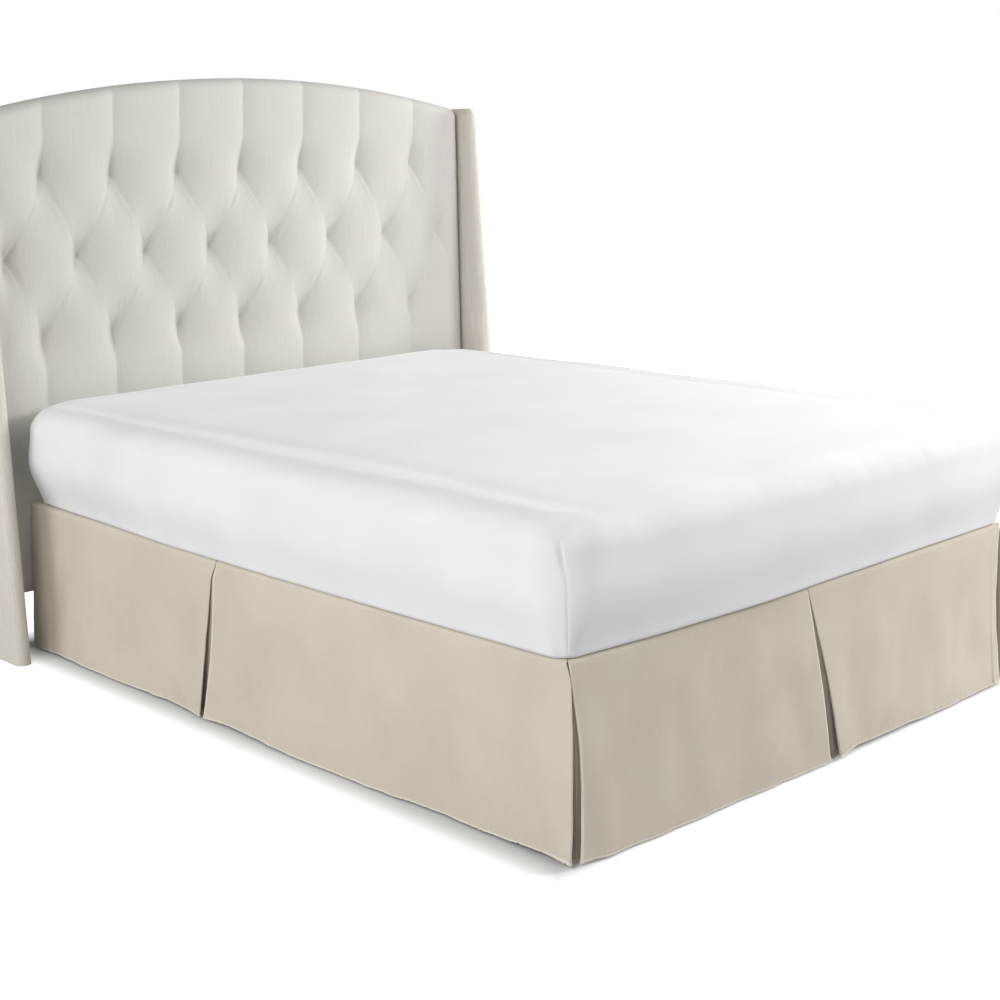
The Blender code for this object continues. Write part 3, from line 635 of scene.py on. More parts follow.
def pleat(edge, near, far, deep=(UNDERLAY_DEEP, UNDERLAY_DEEP)):
    """An inverted box pleat, from the fold that ends one face to the fold that starts the next. How deep the
    underlay hangs is given behind each fold."""
    inner_near = shifted(near, -PLEAT, PLEAT_SLIP - PLEAT)
    inner_far = shifted(far, PLEAT, PLEAT - PLEAT_SLIP)
    return [
        (face(edge, near), "fold right"),
        (layer(edge, near, 1, FOLD_OPEN), HIDDEN_PITCH),
        (layer(edge, inner_near, 1, RETURN_DEEP), "fold left"),
        (layer(edge, inner_near, 2, UNDERLAY_DEEP), HIDDEN_PITCH),
        (layer(edge, near, 2, deep[0]), 0.5 * HIDDEN_PITCH),
        (layer(edge, far, 2, deep[1]), HIDDEN_PITCH),
        (layer(edge, inner_far, 2, UNDERLAY_DEEP), "fold right"),
        (layer(edge, inner_far, 1, RETURN_DEEP), HIDDEN_PITCH),
        (layer(edge, far, 1, FOLD_OPEN), "fold left"),
    ]


def side_columns(pitch):
    """A side drop: from its hidden seam behind the corner to its end at the head."""
    corner = SIDE_CORNER_FOLD
    near_corner = shifted(corner, NEAR_FOLD, NEAR_FOLD)
    return strip(
        [
            (layer(SIDE, shifted(corner, PLEAT, PLEAT), 1, RETURN_DEEP), HIDDEN_PITCH),
            (layer(SIDE, near_corner, 1, FOLD_OPEN), HIDDEN_PITCH),
            (layer(SIDE, corner, 1, FOLD_OPEN), "fold left"),
            (face(SIDE, corner), pitch),
            (face(SIDE, near_corner), pitch),
            *pleat(SIDE, SIDE_PLEAT_NEAR, SIDE_PLEAT_FAR),
            (face(SIDE, SIDE_PLEAT_FAR), pitch),
            (face(SIDE, upright(LENGTH)), pitch),
        ]
    )


def foot_corner(pitch):
    """The left end of the foot drop: the underlay that wraps the corner, and its return."""
    corner = FOOT_CORNER_FOLD
    seam = shifted(SIDE_CORNER_FOLD, PLEAT, PLEAT)
    inner = shifted(corner, PLEAT, PLEAT - PLEAT_SLIP)
    near_corner = shifted(corner, NEAR_FOLD, NEAR_FOLD)
    turn = upright(CORNER_ROUND)
    return [
        (layer(SIDE, seam, 2, UNDERLAY_DEEP), HIDDEN_PITCH),
        (layer(SIDE, turn, 2, UNDERLAY_DEEP), HIDDEN_PITCH),
        (layer(CORNER, upright(0.1), 2, SHADED_DEEP), 0.1),
        (layer(CORNER, upright(0.9), 2, SHADED_DEEP), 0.1),
        (layer(FOOT, turn, 2, LIT_DEEP), HIDDEN_PITCH),
        (layer(FOOT, inner, 2, UNDERLAY_DEEP), "fold right"),
        (layer(FOOT, inner, 1, RETURN_DEEP), HIDDEN_PITCH),
        (layer(FOOT, near_corner, 1, FOLD_OPEN), HIDDEN_PITCH),
        (layer(FOOT, corner, 1, FOLD_OPEN), "fold left"),
        (face(FOOT, corner), pitch),
        (face(FOOT, near_corner), pitch),
    ]


def foot_columns(pitch):
    """The foot drop, from the underlay behind its left corner to the one behind its right corner."""
    left = foot_corner(pitch)
    top, hem, bow, swing = shifted(FOOT_CORNER_FOLD, NEAR_FOLD, NEAR_FOLD)
    stops = left + pleat(FOOT, FOOT_PLEAT_NEAR, FOOT_PLEAT_FAR, (SHADED_DEEP, LIT_DEEP))
    stops += [(face(FOOT, FOOT_PLEAT_FAR), pitch), (face(FOOT, (WIDTH - top, WIDTH - hem, -bow, -swing)), pitch)]
    mirrored = [column._replace(mirrored=True) for column in reversed(strip(left))]
    return strip(stops) + mirrored[1:]


def edge_plan(edge, along):
    """Points of the edges' face lines in plan, and the inward directions there, from arrays."""
    turn = along * math.pi / 2
    bow_side = SIDE_BOW * np.sin(math.pi * np.clip(along / LENGTH, 0, 1))
    bow_foot = SIDE_BOW * np.sin(math.pi * np.clip(along / WIDTH, 0, 1))
    side = np.stack((-WIDTH / 2 - bow_side, along), axis=-1)
    foot = np.stack((along - WIDTH / 2, -bow_foot), axis=-1)
    round_inward = np.stack((np.cos(turn), np.sin(turn)), axis=-1)
    at_side = SIDE_BOW * math.sin(math.pi * CORNER_ROUND / LENGTH)
    at_foot = SIDE_BOW * math.sin(math.pi * CORNER_ROUND / WIDTH)
    swollen = at_side * (1 - along) + at_foot * along
    centre = np.array((CORNER_ROUND - WIDTH / 2, CORNER_ROUND))
    corner = centre - round_inward * (CORNER_ROUND + swollen)[..., None]
    kind = edge[..., None]
    return by_edge(kind, side, foot, corner), by_edge(kind, (1.0, 0.0), (0.0, 1.0), round_inward)


def by_edge(edge, on_side, on_foot, on_corner):
    """The values of each place's own edge."""
    return np.where(edge == SIDE, on_side, np.where(edge == FOOT, on_foot, on_corner))


def edge_value(edge, along, which):
    """The flare (which 1) or the lift (which 2) of the hem at places along the edges."""
    side, foot = EDGE_TABLES[SIDE][which], EDGE_TABLES[FOOT][which]
    corner = side[0][1] * (1 - along) + foot[0][1] * along
    return by_edge(edge, read_table(side, along), read_table(foot, along), corner)


def crease_relief(table, along, share):
    """How far the listed creases stand out at places along an edge and shares of the drop."""
    total = np.zeros_like(along)
    for row in table:
        crease = dict(zip(CREASE_COLUMNS, row))
        centre = crease["top"] + (crease["hem"] - crease["top"]) * share
        grown = smooth((share - crease["starts"]) / (crease["full"] - crease["starts"]))
        total += crease["out"] * grown * bump((along - centre) / crease["half_width"])
    return total * (1 - HEM_STIFFNESS * smooth((share - (1 - HEM_HOLDS)) / HEM_HOLDS))


def fold_place(top, hem, bow, swing, share):
    """The place along the edge of a line that runs from top to hem, at shares of the drop."""
    swung = swing * smooth(share / SWING_SHARE) * (1 - share)
    return top + (hem - top) * share + bow * np.sin(math.pi * share) + swung


def beside_fold(folds, along, share):
    """The distance along the edge to the nearest visible fold."""
    return np.min([np.abs(along - fold_place(*fold, share)) for fold in folds], axis=0)


def lip_relief(folds, along, share, number):
    """How far the cloth curls out beside the visible folds, on the face and the return behind it."""
    grown = np.clip(share, 0, 1) ** LIP_POWER
    in_front = np.clip(2 - number, 0, 1)
    return LIP_OUT * grown * in_front * np.exp(-beside_fold(folds, along, share) / LIP_WIDTH)


SIDE_FOLDS = (SIDE_CORNER_FOLD, SIDE_PLEAT_NEAR, SIDE_PLEAT_FAR)
FOOT_FOLDS = (
    FOOT_CORNER_FOLD,
    FOOT_PLEAT_NEAR,
    FOOT_PLEAT_FAR,
    (WIDTH - FOOT_CORNER_FOLD[0], WIDTH - FOOT_CORNER_FOLD[1], -FOOT_CORNER_FOLD[2], 0.0),
)

# The folds beside which a highlight is painted.
SIDE_HIGHLIGHT_FOLDS = (SIDE_PLEAT_NEAR,)
FOOT_HIGHLIGHT_FOLDS = (FOOT_CORNER_FOLD, FOOT_PLEAT_NEAR, FOOT_FOLDS[3])

# The mesh's rows, from the seam with the deck to the hem.
LAP_ROWS = (1.0, 0.5, 0.0)  # shares of the lap's width
BEND_ROWS = (75, 60, 45, 30, 15)  # degrees above the upright face
UPPER_ROWS = 34
HEM_ROWS = (1.40, 1.22, 1.10, 1.03, 0.96, 0.90, 0.84, 0.76, 0.55, 0.30, 0.10, 0.0)  # shares of the hem's height
HEM_CLEAR = 1.25  # the upper rows end at this many times the highest of those heights
STITCH_AT = 0.84  # the row of the stitches

# The hem's section, in shares of its height: the edge of its fold, the furrow of the stitches and the round
# turn at its bottom, each with its height and its half width.
HEM_FOLD = (1.02, 0.10)
HEM_FURROW = (STITCH_AT, 0.07)
HEM_TURN = (0.0, 0.08)
# How far the fold, the furrow and the turn move the front and the back of the cloth, in hem steps.
FRONT_STEPS = (0.8, 0.7, 0.5)
BACK_STEPS = (1.6, 0.6, 0.8)
# How strongly the painted highlights show beside a fold and along the hem, and how dark the painted shade in the
# furrow is.
FOLD_HIGHLIGHT_STRENGTH = 0.75
HEM_HIGHLIGHT_STRENGTH = 0.85
FURROW_SHADE_STRENGTH = 0.4
# The waves that pucker the hem, as shares of the puckers' pitch, and how far their places wander, in radians.
PUCKER_WAVES = (0.72, 1.0, 1.45)
PUCKER_WANDER = 1.6
PUCKER_WANDER_LENGTH = 0.09
PUCKER_CHANGE_LENGTH = 0.12  # along which the puckers grow and fade


class Drop:
    """One drop's grid of middle points, from its columns: rows run from the seam with the deck to the hem."""

    def __init__(self, columns, settings, seed):
        self.settings = settings
        self.seed = seed
        for name, values in zip(Column._fields, zip(*columns)):
            setattr(self, name, np.array(values, float))
        self.find_reach()
        self.above_hem = np.array(HEM_ROWS) * settings.hem_width
        self.stitch_row = len(LAP_ROWS) + len(BEND_ROWS) + UPPER_ROWS + HEM_ROWS.index(STITCH_AT)

    def find_reach(self):
        """How far inward each column's lap may lie, so that laps meet in a mitre at the corners."""
        wraps = (self.edge == CORNER) | ((self.deep_top > 1.5 * LAYER) & (self.top <= CORNER_ROUND))
        flat = np.minimum(BEND + LAP, self.top - MITRE_GAP)
        self.reach = np.where(wraps, BEND + CORNER_LAP, flat)
        self.bend = np.minimum(BEND, 0.8 * self.reach)

    def grid(self):
        """The middle points' rows; it also finds the drop rows' shares of the drop and heights above the hem."""
        lap_and_bend = [self.lap_row(share) for share in LAP_ROWS]
        lap_and_bend += [self.bend_row(degrees) for degrees in BEND_ROWS]
        drop, self.share, self.height_above = self.drop_rows()
        points = np.concatenate((np.stack(lap_and_bend), drop))
        points[..., 0] = np.where(self.mirrored > 0, -points[..., 0], points[..., 0])
        return points

    def row(self, along, inset, height):
        base, inward = edge_plan(np.broadcast_to(self.edge, along.shape), along)
        flat = base + inward * inset[..., None]
        return np.concatenate((flat, np.broadcast_to(height, along.shape)[..., None]), axis=-1)

    def lap_row(self, share):
        return self.row(self.top, self.bend + (self.reach - self.bend) * share, DECK_TOP - self.deep_top)

    def bend_row(self, degrees):
        angle = math.radians(degrees)
        radius = self.bend - self.deep_top
        inset = self.bend - radius * math.cos(angle)
        return self.row(self.top, inset, DECK_TOP - self.bend + radius * math.sin(angle))

    def drop_rows(self):
        in_front = 1 - self.deep_top / (2 * LAYER)
        high = DECK_TOP - self.bend
        lift = HEM_HEIGHT - HIDDEN_HEM_HEIGHT + edge_value(self.edge, self.hem, 2)
        usual_low = HIDDEN_HEM_HEIGHT + lift * in_front
        reach = high - usual_low
        last = 1 - self.above_hem[0] * HEM_CLEAR / reach
        shares = [last * step / (UPPER_ROWS - 1) for step in range(UPPER_ROWS)]
        shares += [1 - above / reach for above in self.above_hem]
        share = np.stack([np.broadcast_to(value, self.top.shape) for value in shares])
        along = fold_place(self.top, self.hem, self.bow, self.swing, share)
        depth = self.deep_top + (self.deep_hem - self.deep_top) * share
        edge = np.broadcast_to(self.edge, share.shape)
        flare = edge_value(edge, along, 1) * share**FLARE_POWER
        lift = HEM_HEIGHT - HIDDEN_HEM_HEIGHT + edge_value(edge, along, 2)
        low = HIDDEN_HEM_HEIGHT + lift * in_front
        height = high + (low - high) * share
        relief = self.relief(edge, along, share)
        place_along = np.where(self.mirrored > 0, WIDTH - along, along)
        # How far each point is from a fold with a painted highlight
        beside_highlights = (beside_fold(SIDE_HIGHLIGHT_FOLDS, along, share), beside_fold(FOOT_HIGHLIGHT_FOLDS, place_along, share))
        self.beside = by_edge(edge, *beside_highlights, 1.0)
        return self.row(along, depth - flare - relief, height), share, (1 - share) * reach

    def relief(self, edge, along, share):
        """How far the cloth stands out in its creases, its lips and its soft unevenness."""
        number = np.broadcast_to(self.layer, share.shape)
        place_along = np.where(self.mirrored > 0, WIDTH - along, along)
        down = share * (DECK_TOP - HEM_HEIGHT)
        grown = smooth(share / SOFT_START)
        side = crease_relief(SIDE_CREASES, along, share) + lip_relief(SIDE_FOLDS, along, share, number)
        foot = crease_relief(FOOT_CREASES, place_along, share)
        foot += lip_relief(FOOT_FOLDS, place_along, share, number)
        side += SOFT_UNEVEN * grown * unevenness(self.seed, along, down, SOFT_LENGTH)
        foot += SOFT_UNEVEN * grown * unevenness(self.seed + 1, place_along, down, SOFT_LENGTH)
        return by_edge(edge, side, foot, 0.0)

    def skins(self):
        """The grids of the cloth's front and back, with the hem's step, its stitched furrow and its puckers."""
        grid = self.grid()
        normals = grid_normals(grid)
        first_face = int(np.argmax(self.layer == 0))
        row = len(LAP_ROWS) + len(BEND_ROWS) + UPPER_ROWS // 2
        _, inward = edge_plan(self.edge, self.hem)
        facing = normals[row, first_face, :2] @ inward[first_face]
        normals *= 1.0 if facing < 0 else -1.0
        sizes = self.settings
        hem = sizes.hem_width
        above, beside = (self.whole_grid(values, grid) for values in (self.height_above, self.beside))
        ripple = self.puckers(np.broadcast_to(self.hem, above.shape)) * smooth(1 - above / (3 * hem))
        grid = grid + normals * ripple[..., None]
        grid[..., 2] += 0.5 * np.abs(ripple) * smooth(1 - above / hem)
        folded = smooth((HEM_FOLD[0] * hem - above) / (HEM_FOLD[1] * hem))
        furrow, rounded = (bump((above - at * hem) / (wide * hem)) for at, wide in (HEM_FURROW, HEM_TURN))
        # Painted light in the colour: highlights beside the folds and along the hem's lower edge, painted shade in
        # the stitches' furrow
        painted_fold_highlight = FOLD_HIGHLIGHT_STRENGTH * bump(beside / FOLD_HIGHLIGHT_WIDTH) * (self.layer < 0.9)
        painted_hem_highlight = HEM_HIGHLIGHT_STRENGTH * bump((above - HEM_HIGHLIGHT_SIZE) / HEM_HIGHLIGHT_SIZE)
        self.shade = np.maximum(painted_fold_highlight, painted_hem_highlight) - FURROW_SHADE_STRENGTH * furrow
        front, back = (
            sizes.cloth / 2 + sizes.hem_step * (fold * folded - dip * furrow - turn * rounded)
            for fold, dip, turn in (FRONT_STEPS, BACK_STEPS)
        )
        return grid + normals * front[..., None], grid - normals * back[..., None]

    @staticmethod
    def whole_grid(values, grid):
        """Values of the drop's own rows, with 1 on the lap and the bend."""
        whole = np.full(grid.shape[:2], 1.0)
        whole[-len(values) :] = values
        return whole

    def puckers(self, along):
        """How far the hem ripples in and out: a sum of waves that wander and come and go."""
        sizes = self.settings
        random = np.random.default_rng(self.seed + 50)
        strength = 0.55 + 0.45 * unevenness(self.seed + 51, along, 0.0, PUCKER_CHANGE_LENGTH)
        total = 0.0
        for pitch in PUCKER_WAVES:
            phase = random.uniform(0, 2 * math.pi)
            wander = PUCKER_WANDER * unevenness(self.seed + int(100 * pitch), along, 0.0, PUCKER_WANDER_LENGTH)
            total = total + np.sin(2 * math.pi * along / (pitch * sizes.pucker_pitch) + phase + wander)
        return sizes.pucker_depth / 2 * np.clip(strength, 0.1, 1.2) * total


def distances(line):
    """How far each point of a line is from its start, along the line."""
    return np.concatenate(((0.0,), np.cumsum(np.linalg.norm(np.diff(line, axis=0), axis=1))))


def cloth_uv(grid):
    """Each point's place on the cut cloth, in metres, measured along a middle row and down a face's column."""
    across, down = distances(grid[grid.shape[0] // 2]), distances(grid[:, grid.shape[1] // 3])
    return np.stack(np.broadcast_arrays(across[None, :], -down[:, None]), axis=-1)


def stitch_lines(drop, front):
    """The lines along which the hem of each face is stitched, as runs of points just in front of the cloth."""
    lines = []
    for on_face, run in groupby(range(front.shape[1]), lambda column: drop.layer[column] == 0):
        columns = list(run)
        if on_face and len(columns) > 3:
            lines.append(front[drop.stitch_row, columns])
    return lines


STITCHES = []  # the stitch lines of the drops that were made


def make_drop(name, node, columns, settings, material, seed, mirrored=False):
    """A drop from its columns, in place of its solid."""
    drop = Drop(columns, settings, seed)
    front, back = drop.skins()
    if mirrored:
        front, back = (skin * (-1.0, 1.0, 1.0) for skin in (front, back))
    STITCHES.extend(stitch_lines(drop, front))
    piece = sheet_piece(name, front, back, material, cloth_uv((front + back) / 2), drop.shade)
    finish_piece(piece, "skirt_cloth", node)


# ---------------------------------------------------------------------------------------------------------
# The hem's stitches, by Geometry Nodes.


def geometry_tree(name, inputs):
    """A Geometry Nodes tree with a geometry and numbers of these names as inputs, and the sockets that give them."""
    tree = bpy.data.node_groups.new(name, "GeometryNodeTree")
    for direction in ("INPUT", "OUTPUT"):
        tree.interface.new_socket("Geometry", in_out=direction, socket_type="NodeSocketGeometry")
    for number in inputs:
        tree.interface.new_socket(number, in_out="INPUT", socket_type="NodeSocketFloat")
    return tree, add_node(tree, "NodeGroupInput").outputs


def end_tree(tree, geometry, material):
    """End a tree in real geometry with its material."""
    real = add_node(tree, "GeometryNodeRealizeInstances", {"Geometry": geometry})
    painted = add_node(tree, "GeometryNodeSetMaterial", {"Geometry": real, "Material": material})
    add_node(tree, "NodeGroupOutput", {"Geometry": painted})
    return tree


STITCH_SIDES = 6  # of one stitch, which is a stretched ball
STITCH_RINGS = 4


def stitch_tree(inputs, material):
    """A tree that lays small round stitches along curves."""
    tree, given = geometry_tree("hem stitches", inputs)
    run = {"Curve": given["Geometry"], "Length": given["Stitch Pitch"]}
    spaced = add_node(tree, "GeometryNodeResampleCurve", run, mode="LENGTH")
    half_thread, half_length = (
        add_node(tree, "ShaderNodeMath", {0: given[name], 1: 0.5}, operation="MULTIPLY")
        for name in ("Thread", "Stitch Length")
    )
    size = add_node(tree, "ShaderNodeCombineXYZ", {"X": half_thread, "Y": half_thread, "Z": half_length})
    round_mesh = {"Segments": STITCH_SIDES, "Rings": STITCH_RINGS, "Radius": 1.0}
    ball = add_node(tree, "GeometryNodeMeshUVSphere", round_mesh)
    stitch = add_node(tree, "GeometryNodeTransform", {"Geometry": ball, "Scale": size})
    tangent = add_node(tree, "GeometryNodeInputTangent")
    turned = add_node(tree, "FunctionNodeAlignRotationToVector", {"Vector": tangent}, axis="Z")
    stitches = {"Points": spaced, "Instance": stitch, "Rotation": turned}
    return end_tree(tree, add_node(tree, "GeometryNodeInstanceOnPoints", stitches), material)


def lines_object(name, lines):
    """A curve object with one straight-sided spline for each line of bed points."""
    curve = bpy.data.curves.new(name, "CURVE")
    curve.dimensions = "3D"
    for line in lines:
        spline = curve.splines.new("POLY")
        spline.points.add(len(line) - 1)
        flat = np.concatenate((place(line), np.ones((len(line), 1))), axis=1)
        spline.points.foreach_set("co", flat.ravel())
    return linked_object(name, curve)


def run_nodes(source, tree, values, name):
    """Run a Geometry Nodes tree on an object, and keep its result as a plain mesh piece."""
    modifier = source.modifiers.new(tree.name, "NODES")
    modifier.node_group = tree
    for item in tree.interface.items_tree:
        if item.in_out == "INPUT" and item.name in values:
            modifier[item.identifier] = values[item.name]
    evaluated = source.evaluated_get(bpy.context.evaluated_depsgraph_get())
    mesh = bpy.data.meshes.new_from_object(evaluated)
    mesh.name = name
    piece = linked_object(name, mesh)
    source.modifiers.remove(modifier)
    bpy.data.objects.remove(source, do_unlink=True)
    return piece


# ---------------------------------------------------------------------------------------------------------
# The mattress.


# The mesh's columns: in half a round corner, across the foot and along a side.
CORNER_STEPS = 14
FOOT_STEPS = 96
SIDE_STEPS = 128
PATCH_STEPS = (FOOT_STEPS + 2 * CORNER_STEPS, SIDE_STEPS + 2 * CORNER_STEPS)  # of the patch that fills the top
CORNER_CROWDING = 1.9  # columns crowd towards the middle of a corner, where its seam is
# Its rings: how far inward those under it lie, how many each edge and the side have, and those on its top.
UNDER_RINGS = (0.20, 0.06, 0.01)
LOW_EDGE_RINGS = 6
SIDE_RINGS = 24
HIGH_EDGE_RINGS = 14
TOP_RINGS = (0.010, 0.020, 0.030, 0.041, 0.053, 0.066, 0.080)
TOP_CORNER_GROWTH = 0.6  # how much rounder the corners of the rings on top are, of the way inward
CROWN_ACROSS = 2.2  # powers of the crown: the higher, the flatter its middle
CROWN_ALONG = 3.5


def corner_run(centre, radius, from_degrees, shares):
    """Points round half a corner, at shares of its 45 degrees."""
    angles = np.radians(from_degrees % 360 + 45 * shares)
    return np.stack((centre[0] + radius * np.cos(angles), centre[1] + radius * np.sin(angles)), axis=1)


def outline(inset, corner):
    """The mattress's outline in plan, moved inward by inset, from the middle of its left foot corner."""
    half = WIDTH / 2 - inset
    low, high = inset, MATTRESS_LENGTH - inset
    corner = max(corner - inset, 0.001)
    inner, front, back = half - corner, low + corner, high - corner
    corners = ((-inner, front), (inner, front), (inner, back), (-inner, back))
    edges = (
        ((-inner, low), (inner, low)), ((half, front), (half, back)),
        ((inner, high), (-inner, high)), ((-half, back), (-half, front)),
    )
    runs = []
    for number, (start, end) in enumerate(np.array(edges)):
        share = np.arange(CORNER_STEPS) / CORNER_STEPS
        leaving = corner_run(corners[number], corner, 225 + 90 * number, share**CORNER_CROWDING)
        share = 1 - (1 - share) ** CORNER_CROWDING
        entering = corner_run(corners[(number + 1) % 4], corner, 270 + 90 * number, share)
        steps = SIDE_STEPS if number % 2 else FOOT_STEPS
        runs += [leaving, start + (end - start) * (np.arange(steps) / steps)[:, None], entering]
    points = np.concatenate(runs)
    # The sides and the foot swell outward in the middle.
    across, along = points[:, 0] / (WIDTH / 2), points[:, 1]
    bow_side = SIDE_BOW * np.sin(math.pi * np.clip(along / LENGTH, 0, 1))
    bow_foot = SIDE_BOW * np.cos(math.pi / 2 * np.clip(across, -1, 1)) * smooth(1 - along / (LENGTH / 2))
    return points + np.stack((across * bow_side, -bow_foot), axis=1)


def mattress_crown(x, y, crown):
    """How much higher than its edge the top is."""
    edge = MATTRESS_INSET + MATTRESS_TOP_EDGE
    across = np.clip(np.abs(x) / (WIDTH / 2 - edge), 0, 1)
    along = np.clip(np.abs(2 * y / MATTRESS_LENGTH - 1) / (1 - 2 * edge / MATTRESS_LENGTH), 0, 1)
    return crown * (1 - across**CROWN_ACROSS) * (1 - along**CROWN_ALONG)


def mattress_rings():
    """The mattress's rings of points, from its underside to the rim of the patch on its top."""
    bottom, top = MATTRESS_BOTTOM, MATTRESS_TOP
    inset, low_edge, high_edge = MATTRESS_INSET, MATTRESS_BOTTOM_EDGE, MATTRESS_TOP_EDGE
    rings = []

    def add(inward, height, corner):
        flat = outline(inward, corner)
        rings.append(np.concatenate((flat, np.full((len(flat), 1), height)), axis=1))

    for inward in UNDER_RINGS:
        add(inset + low_edge + inward, bottom, MATTRESS_CORNER + inward)
    for angle in np.radians(np.linspace(90, 0, LOW_EDGE_RINGS)):
        add(inset + low_edge * (1 - math.cos(angle)), bottom + low_edge * (1 - math.sin(angle)), MATTRESS_CORNER)
    low, high = bottom + low_edge, top - high_edge
    for share in np.linspace(0, 1, SIDE_RINGS)[1:-1]:
        corner = MATTRESS_CORNER + (MATTRESS_TOP_CORNER - MATTRESS_CORNER) * float(smooth(share))
        add(inset - MATTRESS_BULGE * math.sin(math.pi * share), low + (high - low) * share, corner)
    for angle in np.radians(np.linspace(0, 90, HIGH_EDGE_RINGS)):
        inward = inset + high_edge * (1 - math.cos(angle))
        add(inward, top - high_edge * (1 - math.sin(angle)), MATTRESS_TOP_CORNER)
    for inward in TOP_RINGS:
        add(inset + high_edge + inward, top, MATTRESS_TOP_CORNER + inward * TOP_CORNER_GROWTH)
    return np.stack(rings)


def patch_inside(ring):
    """The grid that fills a ring of the outline, as a blend of its four sides; its rim is the ring."""
    across, along = PATCH_STEPS
    places = (np.arange(across + 1), across + np.arange(along + 1))
    foot, right = ring[places[0]], ring[places[1]]
    head = ring[across + along + np.arange(across + 1)][::-1]
    left = ring[(2 * across + along + np.arange(along + 1)) % len(ring)][::-1]
    u = (np.arange(across + 1) / across)[None, :, None]
    v = (np.arange(along + 1) / along)[:, None, None]
    corners = (1 - v) * ((1 - u) * foot[0] + u * foot[-1]) + v * ((1 - u) * head[0] + u * head[-1])
    return (1 - v) * foot + v * head + (1 - u) * left[:, None] + u * right[:, None] - corners


def patch_places(ring_size, first, count):
    """The place of each of the patch's points in the mesh: its rim's are the ring's, from first on."""
    across, along = PATCH_STEPS
    places = np.empty((along + 1, across + 1), int)
    inner = count + np.arange((along - 1) * (across - 1))
    places[1:-1, 1:-1] = inner.reshape(along - 1, across - 1)
    ring = first + np.arange(ring_size)
    places[0] = ring[: across + 1]
    places[:, -1] = ring[across : across + along + 1]
    places[-1] = ring[across + along : 2 * across + along + 1][::-1]
    places[:, 0] = np.append(ring[2 * across + along :], ring[0])[::-1]
    return places


# A soft roll in the top of the sheet along its sides: how far in from the edge it is, from the foot to the
# head; how deep and how wide, as a half width. A fainter one lies along the foot.
ROLL_IN = ((0.0, 0.088), (0.26, 0.084), (0.65, 0.106), (1.20, 0.084), (1.70, 0.060), (2.07, 0.055))
ROLL_DEPTH = 0.0042
ROLL_HALF_WIDTH = 0.034
FOOT_ROLL = 0.35
FOOT_ROLL_IN = 0.080
# Where the sheet is drawn down above its corner seam: how deep, how wide, and how far in and down that is.
DIMPLE_DEPTH = 0.0110
DIMPLE_HALF_WIDTH = 0.030
DIMPLE_PLACE = (0.012, 0.004, 0.022)
# The corner seam: its half width, the ridge beside it, and the slack of the sheet round it.
SEAM_HALF_WIDTH = 0.0034
RIDGE_HEIGHT = 0.0010
RIDGE_PLACE = 0.010
RIDGE_HALF_WIDTH = 0.007
SLACK_HEIGHT = 0.0012
SLACK_HALF_WIDTH = 0.05
SEAM_LEAN = 0.014  # how far the seam leans to the side from half way up
SEAM_FAINT = 0.22  # how much of it shows low down, where it is pulled flat
CORNER_REACH = 0.12  # how far from its corner a place may be to feel the seam
# Soft random hollows: height, longest wave. On the sides, where the sheet is pulled over the edge, on top.
HOLLOWS = (0.0013, 0.42)
PULLS = (0.0010, 0.11)
SOFT_TOP = (0.0016, 0.62)


def beside_seam(x, y):
    """How far places are to the side of the nearest corner's diagonal, or 1 where no corner is near."""
    beside = np.full(x.shape, 1.0)
    for corner_x in (-1, 1):
        for corner_y, inward_y in ((0.0, 1), (MATTRESS_LENGTH, -1)):
            from_side, from_end = WIDTH / 2 - corner_x * x, (y - corner_y) * inward_y
            near = np.hypot(from_side, from_end) < CORNER_REACH
            beside = np.where(near, (from_side - from_end) / math.sqrt(2), beside)
    return beside


def seam_relief(x, y, z, depth):
    """The corner seams, the slack beside them, and the dimples where they draw the top down."""
    up = (z - MATTRESS_BOTTOM) / MATTRESS_DEPTH
    on_seam = smooth((up - 0.02) / 0.1) * (1 - smooth((up - 0.79) / 0.10))
    beside = beside_seam(x, y) + SEAM_LEAN * smooth((up - 0.5) / 0.35) - 0.002
    seam = -depth * bump(beside / SEAM_HALF_WIDTH) + RIDGE_HEIGHT * bump((beside + RIDGE_PLACE) / RIDGE_HALF_WIDTH)
    seam = seam * (SEAM_FAINT + (1 - SEAM_FAINT) * smooth((up - 0.62) / 0.10))
    slack = SLACK_HEIGHT * bump(beside / SLACK_HALF_WIDTH) * np.sin(up * 9.0 + 1.0)
    in_x, in_y, below = DIMPLE_PLACE
    from_corner = np.hypot(WIDTH / 2 - in_x - np.abs(x), np.minimum(y, MATTRESS_LENGTH - y) - in_y)
    dimple = -DIMPLE_DEPTH * bump(np.hypot(from_corner, z - MATTRESS_TOP + below) / DIMPLE_HALF_WIDTH)
    return (seam + slack) * on_seam + dimple


def sheet_relief(points, settings, seed):
    """How far the fitted sheet stands out: its corner seams, soft hollows, and the rolls in its top."""
    x, y, z = (points[..., axis] for axis in range(3))
    up = (z - MATTRESS_BOTTOM) / MATTRESS_DEPTH
    below = MATTRESS_TOP - z
    on_side = smooth((below - 0.004) / 0.03)
    random_parts = (
        (HOLLOWS, z * 0.6, 0.9, on_side * smooth(up / 0.2)),
        (PULLS, z, 0.5, bump((below - 0.035) / 0.025) * on_side),
    )
    total = seam_relief(x, y, z, settings.seam_depth)
    for number, ((height, longest), down, turn, share) in enumerate(random_parts):
        total = total + height * unevenness(seed + number, x + y, down, longest, upright=turn) * share
    total = total + SOFT_TOP[0] * unevenness(seed + 2, x, y, SOFT_TOP[1], upright=1.5) * (1 - on_side)
    from_roll = (WIDTH / 2 - np.abs(x) - read_table(ROLL_IN, y)) / ROLL_HALF_WIDTH
    roll = bump(from_roll) + FOOT_ROLL * bump((y - FOOT_ROLL_IN) / ROLL_HALF_WIDTH)
    return total - ROLL_DEPTH * np.clip(roll, 0, 1) * (1 - smooth(below / 0.022))


